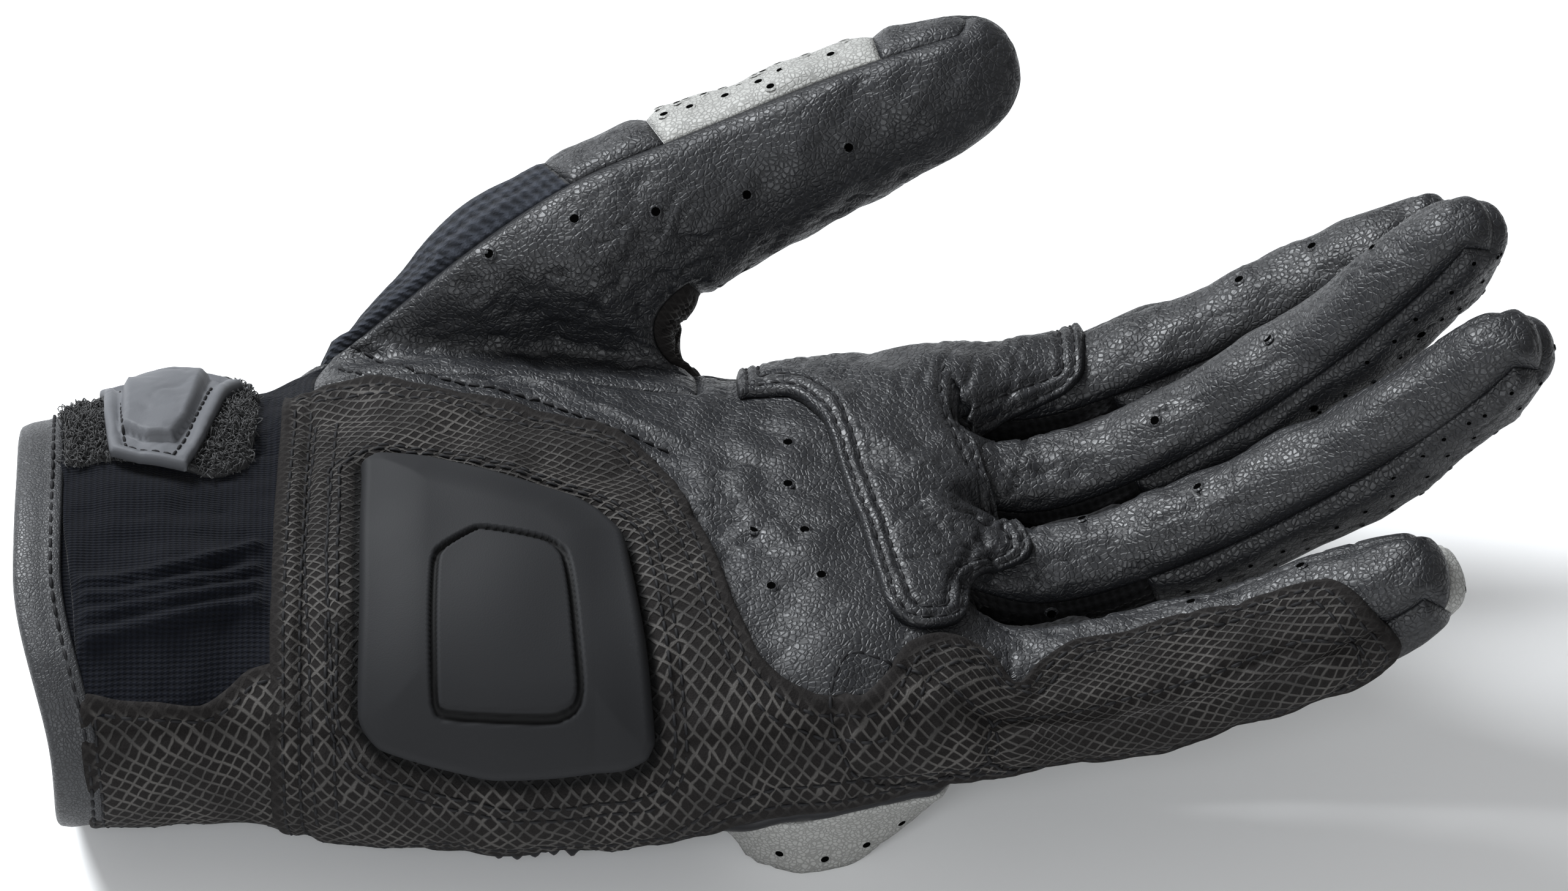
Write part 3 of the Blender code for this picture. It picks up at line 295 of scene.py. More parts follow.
# %% [markdown]
# ## Rounding the cage
# Catmull-Clark subdivision turns the cage into a smooth skin and carries the panel names and the unrolled
# places along. The distance from each point to the nearest seam is then found by letting it spread over the
# edges of the mesh, a step at a time, so that it never jumps from one finger to the next.

# %% The smooth form
FORM_LEVELS = 4


def object_from(name, points, faces):
    mesh = bpy.data.meshes.new(name)
    mesh.from_pydata(np.asarray(points).tolist(), [], [tuple(f) for f in np.asarray(faces).tolist()])
    made = bpy.data.objects.new(name, mesh)
    bpy.context.scene.collection.objects.link(made)
    return made


def read(data, field, width, kind=float):
    """One field of a Blender collection as a numpy array of so many columns."""
    flat = np.empty(len(data) * width, kind)
    data.foreach_get(field, flat)
    return flat.reshape(-1, width) if width > 1 else flat


def smooth_form():
    """Points, quads, panel numbers and unrolled places of the subdivided cage."""
    form = object_from("form", cage.points, cage.faces)
    panel_names = sorted(set(cage.panels))
    mark = form.data.attributes.new("panel", "INT", "FACE")
    mark.data.foreach_set("value", [panel_names.index(p) for p in cage.panels])
    cloth = form.data.uv_layers.new(name="cloth")
    cloth.data.foreach_set("uv", np.array(cage.cloth).ravel())
    rounding = form.modifiers.new("rounding", "SUBSURF")
    rounding.levels = rounding.render_levels = FORM_LEVELS
    graph = bpy.context.evaluated_depsgraph_get()
    form_now = form.evaluated_get(graph)
    fine = bpy.data.meshes.new_from_object(form_now, preserve_all_data_layers=True, depsgraph=graph)
    points = above_floor(read(fine.vertices, "co", 3))
    quads = read(fine.loops, "vertex_index", 1, np.int32).reshape(-1, 4)
    panel = read(fine.attributes["panel"].data, "value", 1, np.int32)
    places = read(fine.uv_layers["cloth"].data, "uv", 2).reshape(-1, 4, 2)
    bpy.data.objects.remove(form)
    return points, quads, np.array(panel_names)[panel], places


def point_normals(points, faces):
    """Each point's normal: the sum of the cross products of the faces' diagonals round it."""
    a, b, c, d = (points[faces[:, k]] for k in (0, 1, 2, -1))
    across = np.cross(c - a, d - b) if faces.shape[1] == 4 else np.cross(b - a, c - a)
    total = np.zeros_like(points)
    for k in range(faces.shape[1]):
        np.add.at(total, faces[:, k], across)
    return unit(total)


FORM, QUADS, PANEL, PLACES = smooth_form()
FORM_NORMALS = point_normals(FORM, QUADS)
print("form:", len(FORM), "points,", len(QUADS), "faces")

# %% Distance to the nearest seam
SEAM_REACH = 9 * MM  # farther from a seam than this doesn't matter
SPREAD_ROUNDS = 24


def edges_of(quads):
    """Every edge once, with the two faces beside it (the second is -1 on a border)."""
    ends = np.stack([quads, np.roll(quads, -1, axis=1)], 2).reshape(-1, 2)
    ends.sort(axis=1)
    face = np.repeat(np.arange(len(quads)), 4)
    order = np.lexsort((ends[:, 1], ends[:, 0]))
    ends, face = ends[order], face[order]
    first = np.ones(len(ends), bool)
    first[1:] = np.any(ends[1:] != ends[:-1], axis=1)
    slots = np.flatnonzero(first)
    pair = np.full(len(slots), -1)
    twin = slots + 1 < len(ends)
    twin[twin] = ~first[slots[twin] + 1]
    pair[twin] = face[slots[twin] + 1]
    return ends[slots], face[slots], pair


def spread(points, edges, start):
    """Shortest way along the edges from the start points; points beyond the reach get the reach."""
    distance = np.where(start, 0.0, SEAM_REACH)
    length = np.linalg.norm(points[edges[:, 0]] - points[edges[:, 1]], axis=1)
    for _ in range(SPREAD_ROUNDS):
        np.minimum.at(distance, edges[:, 0], distance[edges[:, 1]] + length)
        np.minimum.at(distance, edges[:, 1], distance[edges[:, 0]] + length)
    return distance


FORM_EDGES, LEFT_FACE, RIGHT_FACE = edges_of(QUADS)
is_seam = (RIGHT_FACE < 0) | (PANEL[LEFT_FACE] != PANEL[RIGHT_FACE])
on_seam = np.zeros(len(FORM), bool)
on_seam[FORM_EDGES[is_seam]] = True
SEAM_DISTANCE = spread(FORM, FORM_EDGES, on_seam)
seam_steps = np.linalg.norm(np.diff(FORM[FORM_EDGES[is_seam]], axis=1), axis=-1)
print("seams:", round(float(seam_steps.sum()), 2), "m")

# %% [markdown]
# ## Creases
# Worn leather folds across the finger joints and bunches in the web of the thumb. A field of crossing waves
# gives winding zero lines, and a narrow dip along them reads as a crease. Waves squeezed along the fingers
# run across them, as the folds do.

# %% From the photograph's pixels to the form
PHOTO_MIDDLE = (1280, 1155)  # the pixel that shows the form's origin
PIXELS_PER_MM = 10
NEAR_PIXEL = 0.9 * MM  # how close to the line of sight a point lies to be under the pixel


def on_photo(pixels, points, normals):
    """Where a traced line falls on the form, for a camera far off and 45 degrees above.

    Of the points that face the camera and lie under the pixel, the one nearest the camera is taken.
    """
    pixels = np.asarray(pixels, float)
    x = (pixels[:, 0] - PHOTO_MIDDLE[0]) / PIXELS_PER_MM * MM
    u = (PHOTO_MIDDLE[1] - pixels[:, 1]) / PIXELS_PER_MM * MM
    half = math.sqrt(0.5)
    facing = (normals[:, 2] - normals[:, 1]) * half > 0.08
    seen, depth = points[facing], (points[facing, 2] - points[facing, 1]) * half
    away = np.hypot(seen[None, :, 0] - x[:, None], (seen[None, :, 1] + seen[None, :, 2]) * half - u[:, None])
    under = away < NEAR_PIXEL
    best = np.argmin(away + np.where(under, 0, 1) * 10 - depth[None] * under, axis=1)
    return seen[best], normals[facing][best]


def trace(pixels, step=1.0 * MM):
    """A traced line on the form as even steps, its places and normals evened out over three steps."""
    pixels = np.asarray(pixels, float)
    run = run_along(pixels)
    marks = np.linspace(0, run[-1], max(int(run[-1] / (step / MM * PIXELS_PER_MM)), 4))
    places, ways = on_photo(at_marks(marks, run, pixels), FORM, FORM_NORMALS)
    for _ in range(3):
        places[1:-1] = (places[:-2] + 2 * places[1:-1] + places[2:]) / 4
        ways[1:-1] = (ways[:-2] + 2 * ways[1:-1] + ways[2:]) / 4
    return places, unit(ways)


def gap_to(points, line):
    """Distance from each point to a line of close steps, looked for only near the line."""
    gap = np.full(len(points), 1.0)
    low, high = line.min(0) - 6 * MM, line.max(0) + 6 * MM
    near = np.flatnonzero(np.all((points > low) & (points < high), axis=1))
    for part in np.array_split(near, max(len(near) // 8000, 1)):
        gap[part] = np.sqrt(((points[part][:, None] - line[None]) ** 2).sum(2).min(1))
    return gap


THENAR_UPPER = trace(((560, 560), (640, 588), (720, 610), (880, 644), (1000, 692), (1104, 732)))
THENAR_LOWER = trace(((545, 590), (664, 624), (800, 664), (968, 708), (1080, 746)))
THENAR_EDGE = trace(((525, 545), (620, 566), (740, 590), (890, 618), (1010, 668), (1112, 712)))
print("traced seams:", [len(t[0]) for t in (THENAR_UPPER, THENAR_LOWER, THENAR_EDGE)], "mm")

# %% Folds and creases as a height field
def waves(points, size, seed, squeeze=(1, 1, 1), count=14):
    """A smooth uneven field of about unit height: sines along many seeded directions, size apart."""
    dice = np.random.default_rng(seed)
    ways = unit(dice.normal(size=(count, 3))) * dice.uniform(0.6, 1.6, (count, 1)) * (2 * math.pi / size)
    phase = dice.uniform(0, 2 * math.pi, count)
    return np.sin((points * np.array(squeeze)) @ ways.T + phase).sum(1) * math.sqrt(2 / count)


def flat_waves(spots, size, seed, squeeze=(1, 1, 1)):
    """The same waves on a flat sheet."""
    return waves(np.column_stack([spots, np.zeros(len(spots))]), size, seed, squeeze)


def bell(field, width):
    """exp(-(field / width)^2): 1 where the field is 0, falling off over the width."""
    return np.exp(-((field / width) ** 2))


def round_patch(points, centre, radius):
    """1 at the centre, 0 beyond the radius, smooth between."""
    return ease(1 - np.linalg.norm(points - centre, axis=1) / radius)


def leather_height(points, distance):
    """How far each point of the form moves along its normal.

    Soft waves, creases where the leather is bunched, two sewn lines and a ridge on the ball of the thumb,
    and at every seam a dip with a low puff beside it.
    """
    soft = waves(points, 26 * MM, 3) * 0.3 * MM + waves(points, 10 * MM, 5, (1.4, 0.8, 1.2)) * 0.12 * MM
    across = bell(waves(points, 13 * MM, 7, (2.2, 0.7, 1.6)), 0.16)
    fine = bell(waves(points, 6.5 * MM, 9, (1.6, 1.0, 1.4)), 0.2)
    bunched = 0.25 + sum(round_patch(points, np.array(c) * MM, r * MM) for c, r in CREASED)
    folds = -(1.05 * across + 0.5 * fine) * MM * np.clip(bunched, 0, 1.15)
    sewn = sum(bell(gap_to(points, t[0]), 0.6 * MM) for t in (THENAR_UPPER, THENAR_LOWER)) * 0.45 * MM
    ridge = bell(gap_to(points, THENAR_EDGE[0]), 0.9 * MM) * 0.7 * MM
    seam = bell(distance, 1.1 * MM)
    puff = bell(distance - 3.2 * MM, 1.8 * MM)
    return (soft + folds - sewn + ridge) * ease(distance / (3 * MM)) - 0.75 * MM * seam + 0.3 * MM * puff


CREASED = (
    # centre in mm in the form's coordinates, radius in mm: webs, finger joints, thumb crotch, ball of the thumb
    ((36, 22, 44), 22), ((36, 2, 42), 24), ((36, -18, 42), 22), ((62, 16, 60), 16), ((66, -6, 58), 16),
    ((70, -24, 50), 14), ((-22, 46, 50), 26), ((-45, 36, 52), 20), ((-10, -5, 46), 22), ((88, 22, 80), 12),
)
FORM_LIFT = leather_height(FORM, SEAM_DISTANCE)
SKIN = above_floor(FORM + FORM_NORMALS * FORM_LIFT[:, None])
print("skin moves from", round(FORM_LIFT.min() / MM, 2), "to", round(FORM_LIFT.max() / MM, 2), "mm")

# %% [markdown]
# ## Writing shader maths as sums
# A material is a network of small nodes. Here a socket is wrapped so that ordinary Python sums build the Math
# nodes, and one method makes any other node. Only colour, roughness and the bump change over a surface.

# %% A socket that does sums, and a finish that holds a material
class Wire:
    """A number in a node network; Python's operators on it add Math nodes."""

    def __init__(self, finish, socket):
        self.finish, self.socket = finish, socket

    def sum(self, kind, *others):
        return self.finish.node("ShaderNodeMath", {"operation": kind}, {k: v for k, v in enumerate(others)})

    def __add__(self, other): return self.sum("ADD", self, other)
    def __radd__(self, other): return self.sum("ADD", other, self)
    def __sub__(self, other): return self.sum("SUBTRACT", self, other)
    def __rsub__(self, other): return self.sum("SUBTRACT", other, self)
    def __mul__(self, other): return self.sum("MULTIPLY", self, other)
    def __rmul__(self, other): return self.sum("MULTIPLY", other, self)
    def __mod__(self, other): return self.sum("FLOORED_MODULO", self, other)
    def __abs__(self): return self.sum("ABSOLUTE", self)
    def sine(self): return self.sum("SINE", self)
    def least(self, other): return self.sum("MINIMUM", self, other)

    def step(self, low, high):
        """0 below low, 1 above high, smooth between; low may be above high."""
        return self.finish.node("ShaderNodeMapRange", {"interpolation_type": "SMOOTHSTEP"},
                                {"Value": self, "From Min": low, "From Max": high})


class Finish:
    """One material: its nodes are made by node(), and its shader's sockets are set by show()."""

    def __init__(self, name, **fixed):
        self.material = bpy.data.materials.new(name)
        self.material.use_nodes = True
        self.tree = self.material.node_tree
        self.shader = self.tree.nodes["Principled BSDF"]
        self.show(**fixed)

    def node(self, kind, settings=None, sockets=None, out=0):
        made = self.tree.nodes.new(kind)
        for key, value in (settings or {}).items():
            setattr(made, key, value)
        for key, value in (sockets or {}).items():
            self.feed(made.inputs[key], value)
        return Wire(self, made.outputs[out])

    def feed(self, socket, value):
        if isinstance(value, Wire):
            self.tree.links.new(value.socket, socket)
        elif isinstance(value, tuple) and len(value) == 3 and socket.type == "RGBA":
            socket.default_value = (*value, 1)
        else:
            socket.default_value = value

    def show(self, **sockets):
        for key, value in sockets.items():
            self.feed(self.shader.inputs[key.replace("_", " ")], value)

    def place(self):
        """The point's own place, in metres."""
        return self.node("ShaderNodeTexCoord", out="Object")

    def cloth(self, axis):
        """How far along (0) or across (1) the unrolled panel a point lies, in metres."""
        uv = self.node("ShaderNodeUVMap", {"uv_map": "cloth"})
        return self.node("ShaderNodeSeparateXYZ", sockets={0: uv}, out=axis)

    def fact(self, name):
        return self.node("ShaderNodeAttribute", {"attribute_name": name}, out="Fac")

    def noise(self, size, detail=2.0, where=None, rough=0.5):
        return self.node("ShaderNodeTexNoise", sockets={
            "Vector": where or self.place(), "Scale": 1 / size, "Detail": detail, "Roughness": rough})

    def cells(self, size, where):
        """Distance to the nearest wall between Voronoi cells."""
        return self.node("ShaderNodeTexVoronoi", {"feature": "DISTANCE_TO_EDGE"}, {"Vector": where, "Scale": 1 / size})

    def warped(self, size, amount):
        """The point's place, pushed about by noise of that size."""
        push = self.node("ShaderNodeTexNoise", sockets={"Vector": self.place(), "Scale": 1 / size}, out=1)
        push = self.node("ShaderNodeVectorMath", {"operation": "SUBTRACT"}, {0: push, 1: (0.5, 0.5, 0.5)})
        push = self.node("ShaderNodeVectorMath", {"operation": "SCALE"}, {0: push, "Scale": amount})
        return self.node("ShaderNodeVectorMath", {"operation": "ADD"}, {0: self.place(), 1: push})

    def mix(self, share, first, second):
        """The first colour where the share is 0, the second where it is 1."""
        return self.node("ShaderNodeMix", {"data_type": "RGBA"}, {"Factor": share, 6: first, 7: second}, out=2)

    def bump(self, height, depth):
        """Feeds the shader's normal with a height from 0 to 1 that stands for a depth in metres."""
        self.show(Normal=self.node("ShaderNodeBump", sockets={"Height": height, "Distance": depth, "Strength": 1.0}))

    def swatch(self, colour):
        self.material.diffuse_color = (*colour, 1)
        return self.material


# %% [markdown]
# ## Black leather
# Goatskin has small rounded pebbles, up to 1 mm across, parted by fine valleys, and it shines softly where
# it is rubbed. A photograph of leather would repeat; Voronoi cells pushed about by noise don't.

# %% Leathers
def leather_finish(name, dark, light, rough, pebble=0.95 * MM, depth=0.095 * MM):
    """Pebbles between valleys, with soft folds and thin wrinkles; valleys are darker and rougher."""
    f = Finish(name, Specular_IOR_Level=0.42)
    where = f.warped(3.0 * MM, 1.1 * MM)
    valley = f.cells(pebble, where).step(0.0, 0.2)
    fine = f.noise(0.35 * MM, 2.0)
    folds = f.noise(7 * MM, 3.0, where)
    wrinkle = abs(f.noise(4.0 * MM, 2.0, where) - 0.5).step(0.0, 0.06)
    patchy = f.noise(24 * MM, 3.0)
    height = valley * 0.75 + fine * 0.1 + folds * 0.8 + wrinkle * 0.45
    tone = (valley * 0.45 + patchy * 0.55).step(0.2, 0.95)
    f.show(Base_Color=f.mix(tone, dark, light), Roughness=rough + 0.16 * (1 - valley) + 0.14 * (patchy - 0.5))
    f.bump(height, depth)
    return f.swatch(light)


BLACK_LEATHER = leather_finish("black_leather", (0.004, 0.0043, 0.0055), (0.0105, 0.0113, 0.0135), 0.43)
CUFF_LEATHER = leather_finish("cuff_leather", (0.007, 0.0074, 0.0086), (0.020, 0.0212, 0.024), 0.46,
                              0.6 * MM, 0.06 * MM)
GREY_LEATHER = leather_finish("grey_leather", (0.17, 0.17, 0.162), (0.30, 0.30, 0.287), 0.55, 0.8 * MM, 0.08 * MM)
print("leathers:", [m.name for m in (BLACK_LEATHER, CUFF_LEATHER, GREY_LEATHER)])

# %% [markdown]
# ## The heel's abrasion textile
# A suede-like ground carries a raised net of rubbery threads, 2.1 mm apart, that takes the wear when the
# rider slides. The net is drawn on the unrolled panel, so it keeps its pitch wherever the panel bends.

# %% Net textile
NET_PITCH = 2.1 * MM


def net_finish(name):
    """Two sets of slanting threads, the distance to the nearer one giving the net; none at a patch's border. Beside the
    slider the colour turns almost black: painted shade in the sunken border.
    """
    f = Finish(name, Specular_IOR_Level=0.16)
    sway = (f.noise(22 * MM, 1.0) - 0.5) * 2.2
    jitter = (f.noise(2.4 * MM, 1.0) - 0.5) * 0.34
    along = f.cloth(0) * (1 / NET_PITCH) + sway + jitter
    across = f.cloth(1) * (1 / NET_PITCH) - sway * 0.7 + jitter
    first = abs((along + across * 0.75) % 1.0 - 0.5)
    second = abs((across - along * 0.55) % 1.0 - 0.5)
    border = f.fact("edge").step(1.2 * MM, 2.8 * MM)
    net = (1 - first.least(second).step(0.07, 0.2)) * (0.12 + border * 0.88)
    fibre = f.noise(0.3 * MM, 3.0)
    worn = f.noise(9 * MM, 3.0).step(0.35, 0.7)
    ground = f.mix(fibre, (0.0022, 0.0019, 0.0019), (0.012, 0.0103, 0.0098))
    thread = f.mix(worn * 0.6 + fibre * 0.4, (0.014, 0.0132, 0.0128), (0.066, 0.062, 0.058))
    # painted shade: within about 2 mm of the slider the textile goes almost black, as the sunken border is in shadow
    shade = f.mix(f.fact("moat_dip_and_shade").step(0.4, 0.75), f.mix(net, ground, thread), (0.0012, 0.0011, 0.0011))
    f.show(Base_Color=shade, Roughness=0.9 - net * 0.25)
    f.bump(net * 0.8 + fibre * 0.35, 0.35 * MM)
    return f.swatch((0.03, 0.027, 0.026))


HEEL_TEXTILE = net_finish("heel_textile")

# %% [markdown]
# ## Knits and pile
# The cuff is a fine stretch knit whose loops stand in columns; the mesh between the fingers and the insert at
# the thumb are coarser. Rows of sine humps give the loops, and noise breaks them up.

# %% Knits
def knit_finish(name, wale, course, dark, light, depth):
    """Two crossed sine waves on the unrolled cloth: columns of loops, each loop a hump. The humps take the light colour
    and the hollows the dark one, painted highlight and shade, with noise as fibre tone.
    """
    f = Finish(name, Roughness=0.9, Sheen_Weight=0.06, Sheen_Roughness=0.4, Specular_IOR_Level=0.1)
    wobble = (f.noise(3 * MM, 2.0) - 0.5) * 1.6
    column = (f.cloth(1) * (2 * math.pi / wale) + wobble).sine()
    row = (f.cloth(0) * (2 * math.pi / course) + abs(column) * 1.2 + wobble).sine()
    loops = (column * 0.5 + row * 0.5 + 1) * 0.5
    fuzz = f.noise(0.4 * MM, 2.0)
    # painted highlight and shade: loop tops get the light colour, hollows between loops the dark one; the fuzz is fibre
    # tone
    f.show(Base_Color=f.mix(loops * 0.75 + fuzz * 0.25, dark, light))
    f.bump(loops * 0.8 + fuzz * 0.3, depth)
    return f.swatch(light)


CUFF_KNIT = knit_finish("cuff_knit", 0.75 * MM, 1.0 * MM, (0.0007, 0.0009, 0.0016), (0.0042, 0.0052, 0.0088),
                        0.3 * MM)
MESH_KNIT = knit_finish("mesh_knit", 1.6 * MM, 1.6 * MM, (0.001, 0.001, 0.001), (0.012, 0.012, 0.013), 0.5 * MM)
RIB_KNIT = knit_finish("rib_knit", 4.0 * MM, 1.55 * MM, (0.0015, 0.0018, 0.0026), (0.034, 0.038, 0.048), 0.8 * MM)
PILE = Finish("loop_pile", Base_Color=(0.005, 0.005, 0.0055), Roughness=0.6, Sheen_Weight=0.1).swatch((0.008,) * 3)
print("knits:", [m.name for m in (CUFF_KNIT, MESH_KNIT, RIB_KNIT, PILE)])

# %% [markdown]
# ## Rubbers and thread
# The slider and the tab are moulded: an even, slightly dusty matte surface with the fine orange-peel of the
# mould. Dust is a sparse high threshold of fine noise that lifts the colour a little.

# %% Rubbers
def rubber_finish(name, colour, rough, grain=0.25 * MM, depth=0.02 * MM):
    """Fine peel, slow patches and sparse dust; the engraved groove is painted nearly black, painted shade in its
    hollow.
    """
    f = Finish(name, Specular_IOR_Level=0.18)
    peel = f.noise(grain, 2.0)
    dust = f.noise(1.1 * MM, 4.0, rough=0.8).step(0.66, 0.74)
    patchy = f.noise(18 * MM, 3.0)
    lighter = tuple(c * 2.0 + 0.01 for c in colour)
    darker = tuple(c * 0.82 for c in colour)
    # painted shade: the colour goes nearly black along the engraved groove
    body = f.mix(f.fact("painted_groove_shade").step(0.4, 0.62), f.mix(patchy, darker, colour), (0.0015, 0.0015, 0.0017))
    f.show(Base_Color=f.mix(dust * 0.25, body, lighter), Roughness=rough + 0.12 * (patchy - 0.5) + 0.1 * dust)
    f.bump(peel, depth)
    return f.swatch(colour)


SLIDER_RUBBER = rubber_finish("slider_rubber", (0.0105, 0.0109, 0.0122), 0.68)
TAB_RUBBER = rubber_finish("tab_rubber", (0.092, 0.095, 0.103), 0.6, 0.4 * MM, 0.03 * MM)
BLACK_RUBBER = rubber_finish("black_rubber", (0.012, 0.012, 0.0135), 0.42)
THREAD = Finish("thread", Base_Color=(0.005, 0.005, 0.006), Roughness=0.75, Specular_IOR_Level=0.25)
THREAD = THREAD.swatch((0.01,) * 3)
# painted shade: the near-black, matte disc stands for the shaded inside of a punched hole
PAINTED_HOLE_SHADE = Finish("hole", Base_Color=(0.001, 0.001, 0.001), Roughness=1.0, Specular_IOR_Level=0.0).swatch((0.002,) * 3)
print("rubbers:", [m.name for m in (SLIDER_RUBBER, TAB_RUBBER, BLACK_RUBBER)])

# %% [markdown]
# ## The sewn panels
# Each panel is cut out of the smooth form along its seams. Its edge stands back a little and turns down into
# the seam, which is what a turned seam looks like from outside, and a Solidify modifier gives the leather's
# thickness inwards.

# %% Panels
PANEL_WALL = 1.0 * MM
STAND_BACK = 0.02 * MM  # how far a panel's edge stays clear of its seam


def finish_piece(piece, nodes, material, thickness=None):
    """Smooth shading, material and wall thickness; hides the CAD parts the piece replaces and hangs it on the root
    body.
    """
    piece.data.shade_smooth()
    piece.data.materials.append(material)
    if thickness:
        wall = piece.modifiers.new("wall", "SOLIDIFY")
        wall.thickness = thickness
        wall.offset = -1
    if nodes:
        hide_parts(*nodes)
    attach(piece, "root")
    return piece


def set_cloth(piece, places):
    """A UV map in metres, one place for each corner of the mesh."""
    layer = piece.data.uv_layers.new(name="cloth")
    layer.data.foreach_set("uv", np.asarray(places).ravel())


def mark(piece, title, values):
    """A number on every point, for the materials to read."""
    piece.data.attributes.new(title, "FLOAT", "POINT").data.foreach_set("value", np.asarray(values, np.float32))


def make_panel(node, panel, material):
    """The finished skin over one panel, cut out along its seams."""
    faces = QUADS[PANEL == panel]
    used, compact = np.unique(faces, return_inverse=True)
    compact = compact.reshape(-1, 4)
    points, normals = SKIN[used], FORM_NORMALS[used]
    edges, left_face, right_face = edges_of(compact)
    rim = edges[right_face < 0]
    middle = points[compact].mean(1)[left_face[right_face < 0]]
    into = np.zeros_like(points)
    for k in (0, 1):
        np.add.at(into, rim[:, k], middle - points[rim[:, k]])
    into = unit(into - normals * np.sum(into * normals, 1)[:, None])
    on_rim = np.zeros(len(points), bool)
    on_rim[rim] = True
    points[on_rim] += into[on_rim] * STAND_BACK
    piece = object_from(node + "_sewn", above_floor(points) + FORM_TO_FRAME, compact)
    set_cloth(piece, PLACES[PANEL == panel])
    mark(piece, "edge", SEAM_DISTANCE[used])
    return finish_piece(piece, [node], material, PANEL_WALL)


SHELLS = {
    "palm_leather": ("palm_leather", BLACK_LEATHER),
    "hand_back": ("hand_back", BLACK_LEATHER),
    "cuff_front": ("cuff_elastic", CUFF_KNIT),
    "cuff_back": ("cuff_back", BLACK_LEATHER),
    "gusset_index_middle": ("gusset_index", MESH_KNIT),
    "gusset_middle_ring": ("gusset_middle", MESH_KNIT),
    "gusset_ring_little": ("gusset_ring", MESH_KNIT),
    "thumb_front": ("thumb_front", BLACK_LEATHER),
    "thumb_rib_insert": ("thumb_rib", RIB_KNIT),
    "thumb_joint_band": ("thumb_band", BLACK_LEATHER),
    "thumb_back": ("thumb_back", GREY_LEATHER),
    "thumb_tip_cap": ("thumb_cap", BLACK_LEATHER),
    "thumb_side": ("thumb_side", BLACK_LEATHER),
    "thumb_crotch": ("thumb_crotch", HEEL_TEXTILE),
}
for name in FINGERS:
    SHELLS[f"{name}_outer_side"] = (f"{name}_radial", BLACK_LEATHER)
    SHELLS[f"{name}_inner_side"] = (f"{name}_ulnar", BLACK_LEATHER)
    SHELLS[f"{name}_back"] = (f"{name}_back", GREY_LEATHER)
for node, (panel, material) in SHELLS.items():
    make_panel(node, panel, material)
print("sewn panels:", len(SHELLS))

# %% [markdown]
# ## Laying a flat pattern on the glove
# What is stitched on top has an outline of its own. The outline is drawn on a flat sheet that is rolled round
# the hand's axis: one coordinate runs along the glove, the other round it. A map of how far the skin stands
# from the axis, measured once on a lattice, turns any flat point into a place on the glove.

# %% The map of the skin
CALM_ROUNDS = 90
SLOPE_STEP = 1.2 * MM


class Wrap:
    """A sheet rolled round a bent axis, with the skin's distance from the axis on a lattice.

    radius holds the distances as measured and calm an evened copy, in which each node has been set many
    times to the mean of itself and its two neighbours, first along the glove and then round it.
    """

    def __init__(self, rows, reach, lines, turns):
        self.rows, self.lines, self.turns = np.array(rows), lines, turns
        tree = BVHTree.FromPolygons(SKIN.tolist(), QUADS.tolist())
        x, angle = np.meshgrid(lines, turns, indexing="ij")
        start, out = self.axis_point(x), self.outward(angle)
        far = start + out * np.interp(x, *reach)[..., None]
        hits = [tree.ray_cast(Vector(a), Vector(-b))[0] for a, b in zip(far.reshape(-1, 3), out.reshape(-1, 3))]
        hits = np.array([(math.nan,) * 3 if h is None else tuple(h) for h in hits]).reshape(far.shape)
        radius = np.hypot(hits[..., 1] - start[..., 1], hits[..., 2] - start[..., 2])
        self.radius = np.where(np.isnan(radius), np.nanmedian(radius), radius)
        self.calm = self.radius.copy()
        for _ in range(CALM_ROUNDS):
            for nodes in (self.calm, self.calm.T):
                nodes[1:-1] = (nodes[1:-1] + 0.5 * (nodes[:-2] + nodes[2:])) / 2

    def axis(self, x, column):
        return np.interp(x, self.rows[:, 0], self.rows[:, column])

    def axis_point(self, x):
        return np.stack([x, self.axis(x, 1), self.axis(x, 2)], -1)

    def outward(self, angle):
        return np.stack([np.zeros_like(angle), -np.sin(angle), np.cos(angle)], -1)

    def flat(self, table):
        """(station, degrees) rows as distances along and round the sheet."""
        table = np.array(table, float)
        x = station(table[:, 0])
        return np.stack([x, np.radians(table[:, 1]) * self.axis(x, 3)], 1)

    def unroll(self, places):
        """The flat point of each place on the glove."""
        x = places[:, 0]
        angle = np.arctan2(self.axis(x, 1) - places[:, 1], places[:, 2] - self.axis(x, 2))
        return np.stack([x, angle * self.axis(x, 3)], 1)

    def skin(self, spots, calm=False):
        """Place of each flat point on the skin, by bilinear interpolation in the map or in its evened copy."""
        x, angle = spots[:, 0], spots[:, 1] / self.axis(spots[:, 0], 3)
        i = np.clip((x - self.lines[0]) / (self.lines[1] - self.lines[0]), 0, len(self.lines) - 1.001)
        j = np.clip((angle - self.turns[0]) / (self.turns[1] - self.turns[0]), 0, len(self.turns) - 1.001)
        a, b = i.astype(int), j.astype(int)
        u, v = i - a, j - b
        r = self.calm if calm else self.radius
        distance = (r[a, b] * (1 - u) * (1 - v) + r[a + 1, b] * u * (1 - v) + r[a, b + 1] * (1 - u) * v
                    + r[a + 1, b + 1] * u * v)
        return self.axis_point(x) + self.outward(angle) * distance[:, None]

    def lay(self, spots, calm=False):
        """Place and outward normal: the cross product of the evened map's slopes along and round the sheet."""
        du = self.skin(spots + (SLOPE_STEP, 0), True) - self.skin(spots - (SLOPE_STEP, 0), True)
        dv = self.skin(spots + (0, SLOPE_STEP), True) - self.skin(spots - (0, SLOPE_STEP), True)
        normal = unit(np.cross(dv, du))
        outward = self.outward(spots[:, 1] / self.axis(spots[:, 0], 3))
        return self.skin(spots, calm), normal * np.sign(np.sum(normal * outward, 1))[:, None]


